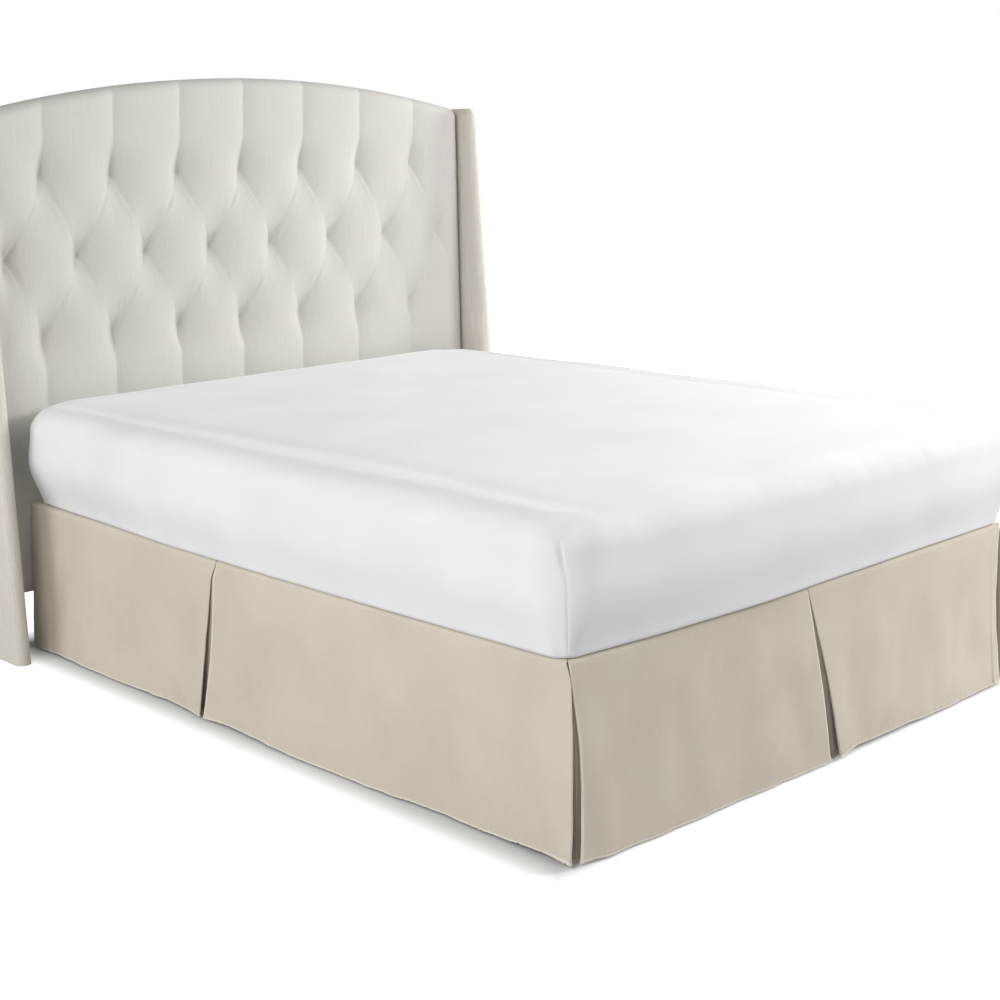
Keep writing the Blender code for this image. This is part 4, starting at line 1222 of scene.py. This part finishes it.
def drawn_under(rings, plan):
    """The rings' sides drawn in against a plan of directions, most at the bottom."""
    x, y, z = (rings[..., axis] for axis in range(3))
    up = (z - MATTRESS_BOTTOM) / MATTRESS_DEPTH
    at_foot = smooth(1 - y / TUCK_CORNER)
    tuck = read_table(SIDE_TUCK, y) * (1 - at_foot) + read_table(FOOT_TUCK, x) * at_foot
    inward = tuck * smooth(1 - up / TUCK_TOP) ** TUCK_POWER
    moved = rings.copy()
    moved[..., :2] -= plan / np.linalg.norm(plan, axis=1, keepdims=True) * inward[..., None]
    return moved


def mattress_mesh(settings, seed):
    """The points and faces of the mattress in its sheet."""
    rings = mattress_rings()
    inside = patch_inside(rings[-1])[1:-1, 1:-1].reshape(-1, 3)
    normals = ring_normals(rings)
    rings = drawn_under(
        rings + normals * sheet_relief(rings, settings, seed)[..., None], normals[len(rings) // 3, :, :2]
    )
    inside[:, 2] += sheet_relief(inside, settings, seed)
    rows, columns = rings.shape[:2]
    points = np.concatenate((rings.reshape(-1, 3), inside))
    crown = mattress_crown(points[:, 0], points[:, 1], settings.crown)
    points[:, 2] += crown * smooth((points[:, 2] - MATTRESS_TOP + MATTRESS_TOP_EDGE) / MATTRESS_TOP_EDGE)
    faces = grid_faces(rows, columns, closed=True)
    places = patch_places(columns, (rows - 1) * columns, rows * columns)
    corners = (places[:-1, :-1], places[:-1, 1:], places[1:, 1:], places[1:, :-1])
    faces = np.concatenate((faces, np.stack([corner.ravel() for corner in corners], axis=1)))
    underside = list(range(columns))[::-1]
    return points, [*faces.tolist(), underside]


def ring_normals(rings):
    """Unit normals of closed rings that point away from their middle."""
    across = np.roll(rings, -1, axis=1) - np.roll(rings, 1, axis=1)
    up = np.gradient(rings, axis=0)
    normals = np.cross(across, up)
    return normals / np.maximum(np.linalg.norm(normals, axis=2, keepdims=True), 1e-9)


def ring_piece(name, rings, material, sharp=60.0, uv=None):
    """A closed piece through rings of points, whose first and last ring are closed by a face each."""
    rows, columns = rings.shape[:2]
    points = rings.reshape(-1, 3)
    quads = outward(points - points.mean(axis=0), grid_faces(rows, columns, closed=True))
    first = list(range(columns))
    last = [(rows - 1) * columns + column for column in range(columns)]
    faces = quads.tolist()
    turned = quads[0][0] < quads[0][1]
    faces.append(first[::-1] if turned else first)
    faces.append(last if turned else last[::-1])
    return new_piece(name, points, faces, material, sharp, uv)


# ---------------------------------------------------------------------------------------------------------
# The headboard. Its cover starts as a plain pad, and Geometry Nodes draw the tufts into its front.


def arch_height(x):
    return ARCH_EDGE + ARCH_RISE * (1 - (x / PANEL_HALF_WIDTH) ** 2)


# Sharp tucks that run from tuft to tuft: place, counted in rows of tufts from the top one, spread and strength.
FALLING_TUCKS = ((0.24, 0.19, 1.0), (0.86, 0.11, 0.6), (1.20, 0.15, 0.5), (1.86, 0.08, 0.2))
RISING_TUCKS = ((0.40, 0.10, 0.45), (0.88, 0.09, 0.7), (1.55, 0.10, 0.3), (1.90, 0.08, 0.5))
TUCK_WIDTH = 0.0060
TUCK_DEPTH = 0.0056
TUCK_RIDGE = 0.8  # how high the ridge beside a groove is, against the groove's depth
TUCK_RIDGE_AT = 1.7  # how far beside the groove it is, in widths
TUCK_STRENGTH = (0.75, 0.35)  # the usual one, and how much it varies from tuck to tuck
TUCK_SCATTER = 12.9898  # any number that makes neighbours differ
TUCK_FADE = (0.55, -0.35, 0.8)  # the share lost towards the right, where that starts, and its width


def tuck_relief(x, z):
    """How far the sharp tucks between tufts stand out at places on the panel: a groove beside a thin ridge."""
    below = TOP_TUFT_ROW - z
    across = (x + TUFT_LEAN * below + TUFT_SHIFT) / TUFT_PITCH
    down = below / (2 * TUFT_ROW_STEP)
    slant = 1 / math.hypot(1 / TUFT_PITCH, 1 / (2 * TUFT_ROW_STEP))
    total = np.zeros_like(x)
    for line, tucks, side in ((across - down, FALLING_TUCKS, -1), (across + down, RISING_TUCKS, 1)):
        number = np.round(line)
        beside = (line - number) * slant
        varied = TUCK_STRENGTH[0] + TUCK_STRENGTH[1] * np.sin(number * TUCK_SCATTER + side)
        ridge = bump((beside - TUCK_RIDGE_AT * side * TUCK_WIDTH) / TUCK_WIDTH)
        groove = TUCK_RIDGE * ridge - bump(beside / TUCK_WIDTH)
        for place_down, spread, strength in tucks:
            total += groove * varied * strength * bump((below / TUFT_ROW_STEP - place_down) / spread)
    lost, start, width = TUCK_FADE
    return TUCK_DEPTH * total * (1 - lost * smooth((x - start) / width))


# The pad's rows: up to where the mattress hides it, from there to just under the tufts, and in the arch.
HIDDEN_TO = 0.62
HIDDEN_ROWS = 14
PLAIN_ROWS = 24
ARCH_ROWS = 30
TUFT_MARGIN = 0.04
# The degrees at which it turns over its sides and its top.
SIDE_TURNS = (0, 20, 38, 54, 68, 80, 90)
TOP_TURNS = (15, 30, 44, 57, 69, 80, 90)


def pad_grid(pitch):
    """The pad's front before it is drawn in: a flat grid from the bottom up, with its sharp tucks, and how
    much of the pad's thickness each point gets."""
    side, half = PANEL_SIDE_EDGE, PANEL_HALF_WIDTH
    turns = half - side * (1 - np.sin(np.radians(SIDE_TURNS)))
    inner = turns[0]
    steps = math.ceil(2 * inner / pitch)
    across = np.concatenate((-turns[::-1], np.linspace(-inner, inner, steps + 1)[1:-1], turns))
    side_share = np.cos(np.arcsin(np.clip((np.abs(across) - inner) / side, 0, 1)))
    plain_to = TOP_TUFT_ROW - 2 * TUFT_ROW_STEP - TUFT_MARGIN
    heights = [
        *np.linspace(PANEL_BOTTOM, HIDDEN_TO, HIDDEN_ROWS),
        *np.linspace(HIDDEN_TO, plain_to, PLAIN_ROWS)[1:],
        *np.arange(plain_to + pitch, TOP_TUFT_ROW + 0.01, pitch),
    ]
    rows = [(np.full_like(across, z), side_share) for z in heights]
    crown = arch_height(across) - PANEL_EDGE
    for share in np.linspace(0, 1, ARCH_ROWS + 1)[1:]:
        rows.append((heights[-1] + (crown - heights[-1]) * share, side_share))
    for angle in np.radians(TOP_TURNS):
        rows.append((crown + PANEL_EDGE * math.sin(angle), side_share * math.cos(angle)))
    grid = np.stack([np.stack((across, np.full_like(across, TUFT_PLANE), z), axis=1) for z, _ in rows])
    drawn = np.stack([share for _, share in rows])
    grid[..., 1] -= tuck_relief(grid[..., 0], grid[..., 2]) * drawn
    return grid, drawn


# The tufting's sum, one step a row: name, operation and operands. x is the place across, z the height. Two
# families of slanting waves, falling and rising, meet in the tufts; both together make the pillows. A
# SMOOTHSTEP's operands are what is read, where the step starts and ends, and its values there.
TUFT_STEPS = (
    ("below", "SUBTRACT", "Top Row", "z"),
    ("two_rows", "MULTIPLY", "Row Step", 2.0),
    ("from_top", "MAXIMUM", "below", 0.0),
    ("in_rows", "MINIMUM", "from_top", "two_rows"),
    ("past", "SUBTRACT", "below", "in_rows"),
    ("beyond", "ABSOLUTE", "past"),
    ("leaned", "MULTIPLY_ADD", "below", "Lean", "x"),
    ("shifted", "ADD", "leaned", "Shift"),
    ("across", "DIVIDE", "shifted", "Pitch"),
    ("down", "DIVIDE", "in_rows", "two_rows"),
    ("falling", "ADD", "across", "down"),
    ("rising", "SUBTRACT", "across", "down"),
    ("falling_part", "FRACT", "falling"),
    ("rising_part", "FRACT", "rising"),
    ("falling_bent", "POWER", "falling_part", 1.05),
    ("rising_bent", "POWER", "rising_part", 1.05),
    ("falling_turn", "MULTIPLY", "falling_bent", math.pi),
    ("rising_turn", "MULTIPLY", "rising_bent", math.pi),
    ("falling_wave", "SINE", "falling_turn"),
    ("rising_wave", "SINE", "rising_turn"),
    ("first", "POWER", "falling_wave", 0.85),
    ("second", "POWER", "rising_wave", 0.85),
    ("both", "MULTIPLY", "first", "second"),
    ("total", "ADD", "first", "second"),
    ("either", "SUBTRACT", "total", "both"),
    ("dome", "POWER", "both", 2.1),
    ("pillow", "SUBTRACT", "dome", "either"),
    ("rest", "SUBTRACT", 1.0, "Crease Height"),
    ("share", "MULTIPLY_ADD", "pillow", "rest", "either"),
    ("valley", "SUBTRACT", 1.0, "share"),
    ("aside", "ABSOLUTE", "x"),
    ("from_side", "SUBTRACT", "Half Width", "aside"),
    ("closed", "SUBTRACT", 1.0, "Opening"),
    ("eased", "SUBTRACT", 1.0, "Ease"),
    # The valleys fill up again past the outer tufts, at the sides, below the tufts and towards the right.
    ("past_fill", "SMOOTHSTEP", "beyond", 0.0, 0.10, 1.0, "closed"),
    ("side_fill", "SMOOTHSTEP", "from_side", 0.075, 0.022, 1.0, 0.0),
    ("low_fill", "SMOOTHSTEP", "z", TUFTS_START, TUFTS_START - 0.08, 1.0, 0.0),
    ("right_fill", "SMOOTHSTEP", "x", -0.2, 0.7, 1.0, "eased"),
    *(("valley", "MULTIPLY", "valley", f"{where}_fill") for where in ("past", "side", "low", "right")),
    # Where no valley is left, a point moves forward by the whole depth.
    ("full", "SUBTRACT", 1.0, "valley"),
    ("forward", "MULTIPLY", "full", "Depth"),
    ("less", "MULTIPLY", "forward", "drawn"),
    ("back", "MULTIPLY", "less", -1.0),
)
STEP_INPUTS = ("Value", "From Min", "From Max", "To Min", "To Max")


def tuft_tree(inputs, material):
    """A tree that draws tufts into a pad's front: it moves each point forward by the tufting's sum, times
    the point's share in the attribute "drawn"."""
    tree, given = geometry_tree("diamond tufts", inputs)
    place = add_node(tree, "ShaderNodeSeparateXYZ", {0: add_node(tree, "GeometryNodeInputPosition")}).outputs
    drawn = add_node(tree, "GeometryNodeInputNamedAttribute", {"Name": "drawn"}, data_type="FLOAT")
    known = {name: given[name] for name in inputs} | {"x": place["X"], "z": place["Z"], "drawn": drawn}
    for name, operation, *operands in TUFT_STEPS:
        values = [known.get(operand, operand) for operand in operands]
        if operation == "SMOOTHSTEP":
            named = dict(zip(STEP_INPUTS, values))
            known[name] = add_node(tree, "ShaderNodeMapRange", named, interpolation_type=operation)
        else:
            known[name] = add_node(tree, "ShaderNodeMath", dict(enumerate(values)), operation=operation)
    offset = add_node(tree, "ShaderNodeCombineXYZ", {"Y": known["back"]})
    moved = add_node(tree, "GeometryNodeSetPosition", {"Geometry": given["Geometry"], "Offset": offset})
    return end_tree(tree, moved, material)


# How the cover is turned over the pad's edge: how far inward each ring is, and how deep behind the back.
COVER_TURN = ((0.0, 0.006), (0.004, 0.0), (0.045, 0.0), (0.048, 0.0016), (0.060, 0.0016))


def headboard_pad(pitch, material):
    """The plain pad as a closed mesh with a flat back, whose cover is turned over its edge behind."""
    grid, drawn = pad_grid(pitch)
    rows, columns = grid.shape[:2]
    rim = np.array(rim_of(rows, columns))
    outer = grid.reshape(-1, 3)[rim]
    middle = (PANEL_BOTTOM + ARCH_EDGE) / 2
    rings = []
    for inward, deep in COVER_TURN:
        ring = outer.copy()
        ring[:, 0] *= 1 - inward / PANEL_HALF_WIDTH
        ring[:, 2] += (middle - ring[:, 2]) * inward / (middle - PANEL_BOTTOM)
        ring[:, 1] = PANEL_BACK - deep
        rings.append(ring)
    points = np.concatenate((grid.reshape(-1, 3), *rings))
    shares = np.concatenate((drawn.ravel(), np.zeros(len(rim) * len(rings))))
    count = rows * columns
    faces = grid_faces(rows, columns).tolist()
    levels = [rim] + [count + len(rim) * level + np.arange(len(rim)) for level in range(len(rings))]
    for low, high in zip(levels, levels[1:]):
        faces += np.stack((np.roll(low, -1), low, high, np.roll(high, -1)), axis=1).tolist()
    faces.append(levels[-1][::-1].tolist())
    uv = points[:, (0, 2)]
    piece = new_piece("headboard_cover", points, faces, material, 180.0, uv)
    attribute = piece.data.attributes.new("drawn", "FLOAT", "POINT")
    attribute.data.foreach_set("value", shares.astype(np.float32))
    return piece


# A wing's rings: how many up to its rounded top, how many on that, and the degrees at which they end.
WING_LEVELS = 72
WING_TOP_LEVELS = 12
WING_TOP_TURN = 84
WING_NARROWING = 0.6  # the share of its thickness that it loses in the rounded top
WING_BACK_ROUND = 0.02  # how far its back leans forward there
# Their points: across the back, along each side, and round the padded front.
WING_BACK_STEPS = 4
WING_SIDE_STEPS = 12
WING_FRONT_STEPS = 16
# The cover's pull: height and longest wave of its hollows, and of the gathers under its top.
WING_HOLLOWS = (0.0007, 0.55)
WING_GATHERS = (0.0011, 0.035)
GATHERS_BELOW = 0.05  # how far under the top they are deepest
GATHERS_SPREAD = 0.06


def wing_rings(side):
    """A wing's rings from the floor up: a flat back, flat sides and a round padded front."""
    straight_top = WING_TOP - WING_ROUND
    levels = [(z, 0.0) for z in np.linspace(0.0, straight_top, WING_LEVELS)]
    for angle in np.radians(np.linspace(0, WING_TOP_TURN, WING_TOP_LEVELS)[1:]):
        levels.append((straight_top + WING_ROUND * math.sin(angle), 1 - math.cos(angle)))
    across = 1 - 2 * np.arange(WING_BACK_STEPS + 1) / WING_BACK_STEPS
    steps = np.arange(1, WING_SIDE_STEPS)
    angles = math.pi * np.arange(WING_FRONT_STEPS + 1) / WING_FRONT_STEPS
    rings = []
    for z, drawn_in in levels:
        share = z / WING_TOP
        thick = WING_BASE_THICKNESS + (WING_TOP_THICKNESS - WING_BASE_THICKNESS) * share
        reach = WING_REACH_BOTTOM + (WING_REACH_TOP - WING_REACH_BOTTOM) * share
        half = thick / 2 * (1 - WING_NARROWING * drawn_in)
        front = TUFT_PLANE - reach + WING_ROUND * drawn_in
        back = PANEL_BACK - WING_BACK_ROUND * drawn_in
        deep = front + half - back
        runs = (
            (half * across, back + 0 * across),
            (-half + 0 * steps, back + deep * steps / WING_SIDE_STEPS),
            (-half * np.cos(angles), front + half * (1 - np.sin(angles))),
            (half + 0 * steps, front + half - deep * steps / WING_SIDE_STEPS),
        )
        x, y = np.concatenate(runs, axis=1)
        x += PANEL_HALF_WIDTH + WING_GAP + thick / 2
        rings.append(np.stack((side * x, y, np.full_like(x, z)), axis=1))
    return np.array(rings)


def wing_wrinkles(rings, seed):
    """The cover's pull: soft long hollows, and small slanting gathers under the top."""
    normals = ring_normals(rings)
    y, z = rings[..., 1], rings[..., 2]
    if (normals[:, :, 1] * (y - y.mean())).sum() < 0:
        normals = -normals
    around = np.broadcast_to(np.arange(rings.shape[1]) / rings.shape[1], z.shape)
    hollow = WING_HOLLOWS[0] * unevenness(seed, around * 0.4, z, WING_HOLLOWS[1], upright=0.4)
    gather = WING_GATHERS[0] * unevenness(seed + 3, around * 0.5 + z * 0.8, z, WING_GATHERS[1], upright=0.6)
    gather = gather * bump((WING_TOP - GATHERS_BELOW - z) / GATHERS_SPREAD)
    standing = smooth(z / 0.03)
    return rings + normals * ((hollow + gather) * standing)[..., None]


def ring_uv(rings):
    """Each ring point's place on the cover, in metres: round the piece and up it."""
    steps = np.linalg.norm(np.diff(rings, axis=1), axis=2)
    around = np.concatenate((np.zeros((len(rings), 1)), np.cumsum(steps, axis=1)), axis=1)
    return np.stack((around, rings[..., 2]), axis=-1).reshape(-1, 2)


# ---------------------------------------------------------------------------------------------------------
# Operators.


def finish_piece(piece, slot_name, *nodes):
    """Hang a finished piece on the bed, in place of the solids that it stands for."""
    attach(piece, BODY)
    if nodes:
        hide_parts(*nodes)


class MakeDrops(bpy.types.Operator):
    """Make the skirt's left, foot and right drops, each one strip of cloth with its pleats and its hem"""

    bl_idname = "bed_skirt.make_drops"
    bl_label = "Drops"

    def execute(self, context):
        settings = context.scene.bed_skirt
        seed = context.scene.bed_skirt_bed.seed
        material = microfibre_material(settings)
        pitch = settings.column_pitch
        STITCHES.clear()
        make_drop("skirt_left", "drop_left", side_columns(pitch), settings, material, seed)
        make_drop("skirt_foot", "drop_foot", foot_columns(pitch), settings, material, seed + 20)
        make_drop("skirt_right", "drop_right", side_columns(pitch), settings, material, seed + 40, True)
        return {"FINISHED"}


DECK_CLEAR = 0.0005  # between the deck's edge and the drops' laps
DECK_ROWS = 60
DECK_COLUMNS = 45


class MakeDeck(bpy.types.Operator):
    """Make the skirt's deck, the flat sheet that lies on the box spring"""

    bl_idname = "bed_skirt.make_deck"
    bl_label = "Deck"

    def execute(self, context):
        settings = context.scene.bed_skirt
        inset = BEND + LAP + DECK_CLEAR
        along = np.linspace(inset, LENGTH, DECK_ROWS)
        half = WIDTH / 2 - inset + SIDE_BOW * np.sin(math.pi * along / LENGTH)
        across = np.linspace(-1, 1, DECK_COLUMNS)
        x = half[:, None] * across[None, :]
        y = np.broadcast_to(along[:, None], x.shape).copy()
        y[0] -= SIDE_BOW * np.sin(math.pi * (x[0] + WIDTH / 2) / WIDTH)
        grid = np.stack((x, y, np.full_like(x, DECK_TOP)), axis=-1)
        lifted = np.array((0.0, 0.0, settings.cloth / 2))
        material = microfibre_material(settings)
        piece = sheet_piece("skirt_deck", grid + lifted, grid - lifted, material, grid[..., :2])
        finish_piece(piece, "deck_cloth", "platform")
        return {"FINISHED"}


class MakeHemStitches(bpy.types.Operator):
    """Lay the stitches of the hem on the drops that were made last"""

    bl_idname = "bed_skirt.make_hem_stitches"
    bl_label = "Hem stitches"

    def execute(self, context):
        if not STITCHES:
            raise RuntimeError("make the drops before their stitches")
        settings = context.scene.bed_skirt
        names = ("stitch_pitch", "stitch_length", "thread")
        values = {name.replace("_", " ").title(): getattr(settings, name) for name in names}
        tree = stitch_tree(values, thread_material(settings))
        piece = run_nodes(lines_object("hem_lines", STITCHES), tree, values, "hem_stitches")
        piece.data.shade_smooth()
        finish_piece(piece, "skirt_cloth")
        return {"FINISHED"}


class DressBase(bpy.types.Operator):
    """Give the box spring, the rails and the legs their finish"""

    bl_idname = "bed_skirt.dress_base"
    bl_label = "Box spring, rails and legs"

    def execute(self, context):
        settings = context.scene.bed_skirt_bed
        finishes = {"box_spring": ticking_material, "rail": steel_material, "leg": wood_material}
        for start, make_material in finishes.items():
            material = make_material(settings)
            for name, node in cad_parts.items():
                if name.startswith(start):
                    node.data.materials.clear()
                    node.data.materials.append(material)
        return {"FINISHED"}


class MakeMattress(bpy.types.Operator):
    """Make the mattress in its fitted sheet"""

    bl_idname = "bed_skirt.make_mattress"
    bl_label = "Mattress"

    def execute(self, context):
        settings = context.scene.bed_skirt_mattress
        points, faces = mattress_mesh(settings, context.scene.bed_skirt_bed.seed)
        piece = new_piece("mattress_in_sheet", points, faces, sheet_material(settings))
        finish_piece(piece, "fitted_sheet", "mattress")
        return {"FINISHED"}


class MakeHeadboard(bpy.types.Operator):
    """Make the tufted panel of the headboard"""

    bl_idname = "bed_skirt.make_headboard"
    bl_label = "Headboard panel"

    def execute(self, context):
        settings = context.scene.bed_skirt_headboard
        material = linen_material("ribbed linen", settings.colour_light, settings.colour_dark)
        pad = headboard_pad(settings.mesh_pitch, material)
        values = {
            "Pitch": TUFT_PITCH,
            "Row Step": TUFT_ROW_STEP,
            "Top Row": TOP_TUFT_ROW,
            "Lean": TUFT_LEAN,
            "Shift": TUFT_SHIFT,
            "Depth": settings.tuft_depth,
            "Crease Height": settings.crease_height,
            "Opening": settings.opening,
            "Ease": TUFT_EASE,
            "Half Width": PANEL_HALF_WIDTH,
        }
        piece = run_nodes(pad, tuft_tree(values, material), values, "headboard_tufted")
        finish_piece(piece, "headboard_linen", "headboard_panel")
        return {"FINISHED"}


class MakeWings(bpy.types.Operator):
    """Make the headboard's two padded wings"""

    bl_idname = "bed_skirt.make_wings"
    bl_label = "Wings"

    def execute(self, context):
        settings = context.scene.bed_skirt_headboard
        material = linen_material("ribbed linen, beige", settings.wing_light, settings.wing_dark)
        for side, name in ((-1, "left"), (1, "right")):
            plain = wing_rings(side)
            rings = wing_wrinkles(plain, context.scene.bed_skirt_bed.seed + side)
            piece = ring_piece(f"wing_{name}_cover", rings, material, 50.0, ring_uv(plain))
            finish_piece(piece, "wing_linen", f"wing_{name}")
        return {"FINISHED"}


# ---------------------------------------------------------------------------------------------------------
# The stage.


# The studio's soft lights: name, place, what each aims at, its width and height in metres, and its watts.
LIGHTS = (
    ("key", (3.2, -3.2, 2.4), (0.6, -1.0, 0.3), (1.6, 1.6), 143.0),
    ("fill", (-4.5, -2.0, 3.2), (-0.7, 0.0, 0.4), (2.4, 2.4), 127.0),
    ("side", (-4.6, 0.6, 0.9), (-0.8, 0.2, 0.5), (1.6, 1.0), 39.0),
    ("side_high", (-4.2, 2.0, 1.4), (-0.8, -0.2, 0.4), (1.6, 1.2), 18.0),
    ("over_foot", (0.6, -1.5, 3.0), (0.6, -1.5, 0.0), (1.5, 1.5), 13.0),
    ("across_head", (4.4, -0.1, 1.8), (-0.2, 1.1, 1.1), (1.3, 1.3), 131.0),
)
AMBIENT = 0.3  # how brightly the room around lights the bed, against 1 for the white behind it
FLOOR_RADIUS = 24.0
FLOOR_SIDES = 96


def make_light(name, stands, aim, size, power):
    """A soft rectangular light that shines at a point."""
    light = bpy.data.lights.new(name, "AREA")
    light.shape = "RECTANGLE"
    light.size, light.size_y = size
    light.energy = power
    made = linked_object(name, light)
    made.location = stands
    made.rotation_euler = (Vector(aim) - Vector(stands)).to_track_quat("-Z", "Y").to_euler()


def make_camera():
    """The camera, turned about its own axes by yaw, pitch and roll."""
    data = bpy.data.cameras.new("camera")
    data.lens = CAMERA_LENS
    data.sensor_width = SENSOR_WIDTH
    data.shift_y = CAMERA_SHIFT_UP
    made = linked_object("camera", data)
    sine, cosine, flat = math.sin(CAMERA_YAW), math.cos(CAMERA_YAW), math.cos(CAMERA_PITCH)
    ahead = Vector((sine * flat, cosine * flat, -math.sin(CAMERA_PITCH)))
    level = Vector((cosine, -sine, 0.0))
    up = level.cross(ahead)
    right = level * math.cos(CAMERA_ROLL) + up * math.sin(CAMERA_ROLL)
    up = up * math.cos(CAMERA_ROLL) - level * math.sin(CAMERA_ROLL)
    turn = Matrix((right, up, -ahead)).transposed()
    corner = Vector((-WIDTH / 2, FOOT_Y, 0.0))
    made.matrix_world = Matrix.Translation(Vector(CAMERA_PLACE) + corner) @ turn.to_4x4()
    bpy.context.scene.camera = made


class MakeStage(bpy.types.Operator):
    """Make the pale floor, the soft studio lights and the camera"""

    bl_idname = "bed_skirt.make_stage"
    bl_label = "Stage"

    def execute(self, context):
        self.make_floor(floor_material(context.scene.bed_skirt_bed))
        self.make_world(context.scene)
        for light in LIGHTS:
            make_light(*light)
        make_camera()
        context.scene.view_settings.view_transform = "Standard"
        return {"FINISHED"}

    def make_floor(self, material):
        angles = np.arange(FLOOR_SIDES) * 2 * math.pi / FLOOR_SIDES
        mesh = bpy.data.meshes.new("floor")
        points = np.stack((np.cos(angles), np.sin(angles), np.zeros(FLOOR_SIDES)), axis=1) * FLOOR_RADIUS
        mesh.from_pydata(points.tolist(), [], [list(range(FLOOR_SIDES))])
        mesh.materials.append(material)
        linked_object("floor", mesh)

    def make_world(self, scene):
        """White all round; what lights the bed is dimmer than what the camera sees behind it."""
        world = bpy.data.worlds.new("studio")
        scene.world = world
        world.use_nodes = True
        tree = world.node_tree
        tree.nodes.clear()
        seen = add_node(tree, "ShaderNodeLightPath")
        around, behind = (
            add_node(tree, "ShaderNodeBackground", {"Color": linear("FFFFFF"), "Strength": strength})
            for strength in (AMBIENT, 1.0)
        )
        mixed = add_node(tree, "ShaderNodeMixShader", {0: seen.outputs["Is Camera Ray"], 1: around, 2: behind})
        add_node(tree, "ShaderNodeOutputWorld", {"Surface": mixed})


class BedSkirtPanel(bpy.types.Panel):
    """The bed's settings and the operators that make its pieces"""

    bl_idname = "VIEW3D_PT_bed_skirt"
    bl_label = "Bed Skirt"
    bl_space_type = "VIEW_3D"
    bl_region_type = "UI"
    bl_category = "Bed Skirt"

    def draw(self, context):
        layout = self.layout
        for group in SETTINGS:
            box = layout.box()
            settings = getattr(context.scene, group)
            for name in settings.__annotations__:
                box.prop(settings, name)
        for operator in OPERATORS:
            layout.operator(operator.bl_idname)


SETTINGS = {
    "bed_skirt": SkirtSettings,
    "bed_skirt_mattress": MattressSettings,
    "bed_skirt_headboard": HeadboardSettings,
    "bed_skirt_bed": BedSettings,
}
OPERATORS = (MakeStage, MakeDrops, MakeDeck, MakeHemStitches, DressBase, MakeMattress, MakeHeadboard, MakeWings)


def register():
    for group in (*SETTINGS.values(), *OPERATORS, BedSkirtPanel):
        bpy.utils.register_class(group)
    for name, group in SETTINGS.items():
        setattr(bpy.types.Scene, name, PointerProperty(type=group))


def unregister():
    for name in SETTINGS:
        delattr(bpy.types.Scene, name)
    for group in reversed((*SETTINGS.values(), *OPERATORS, BedSkirtPanel)):
        bpy.utils.unregister_class(group)


def main():
    register()
    for operator in OPERATORS:
        group, name = operator.bl_idname.split(".")
        getattr(getattr(bpy.ops, group), name)()


if __name__ == "__main__":
    main()
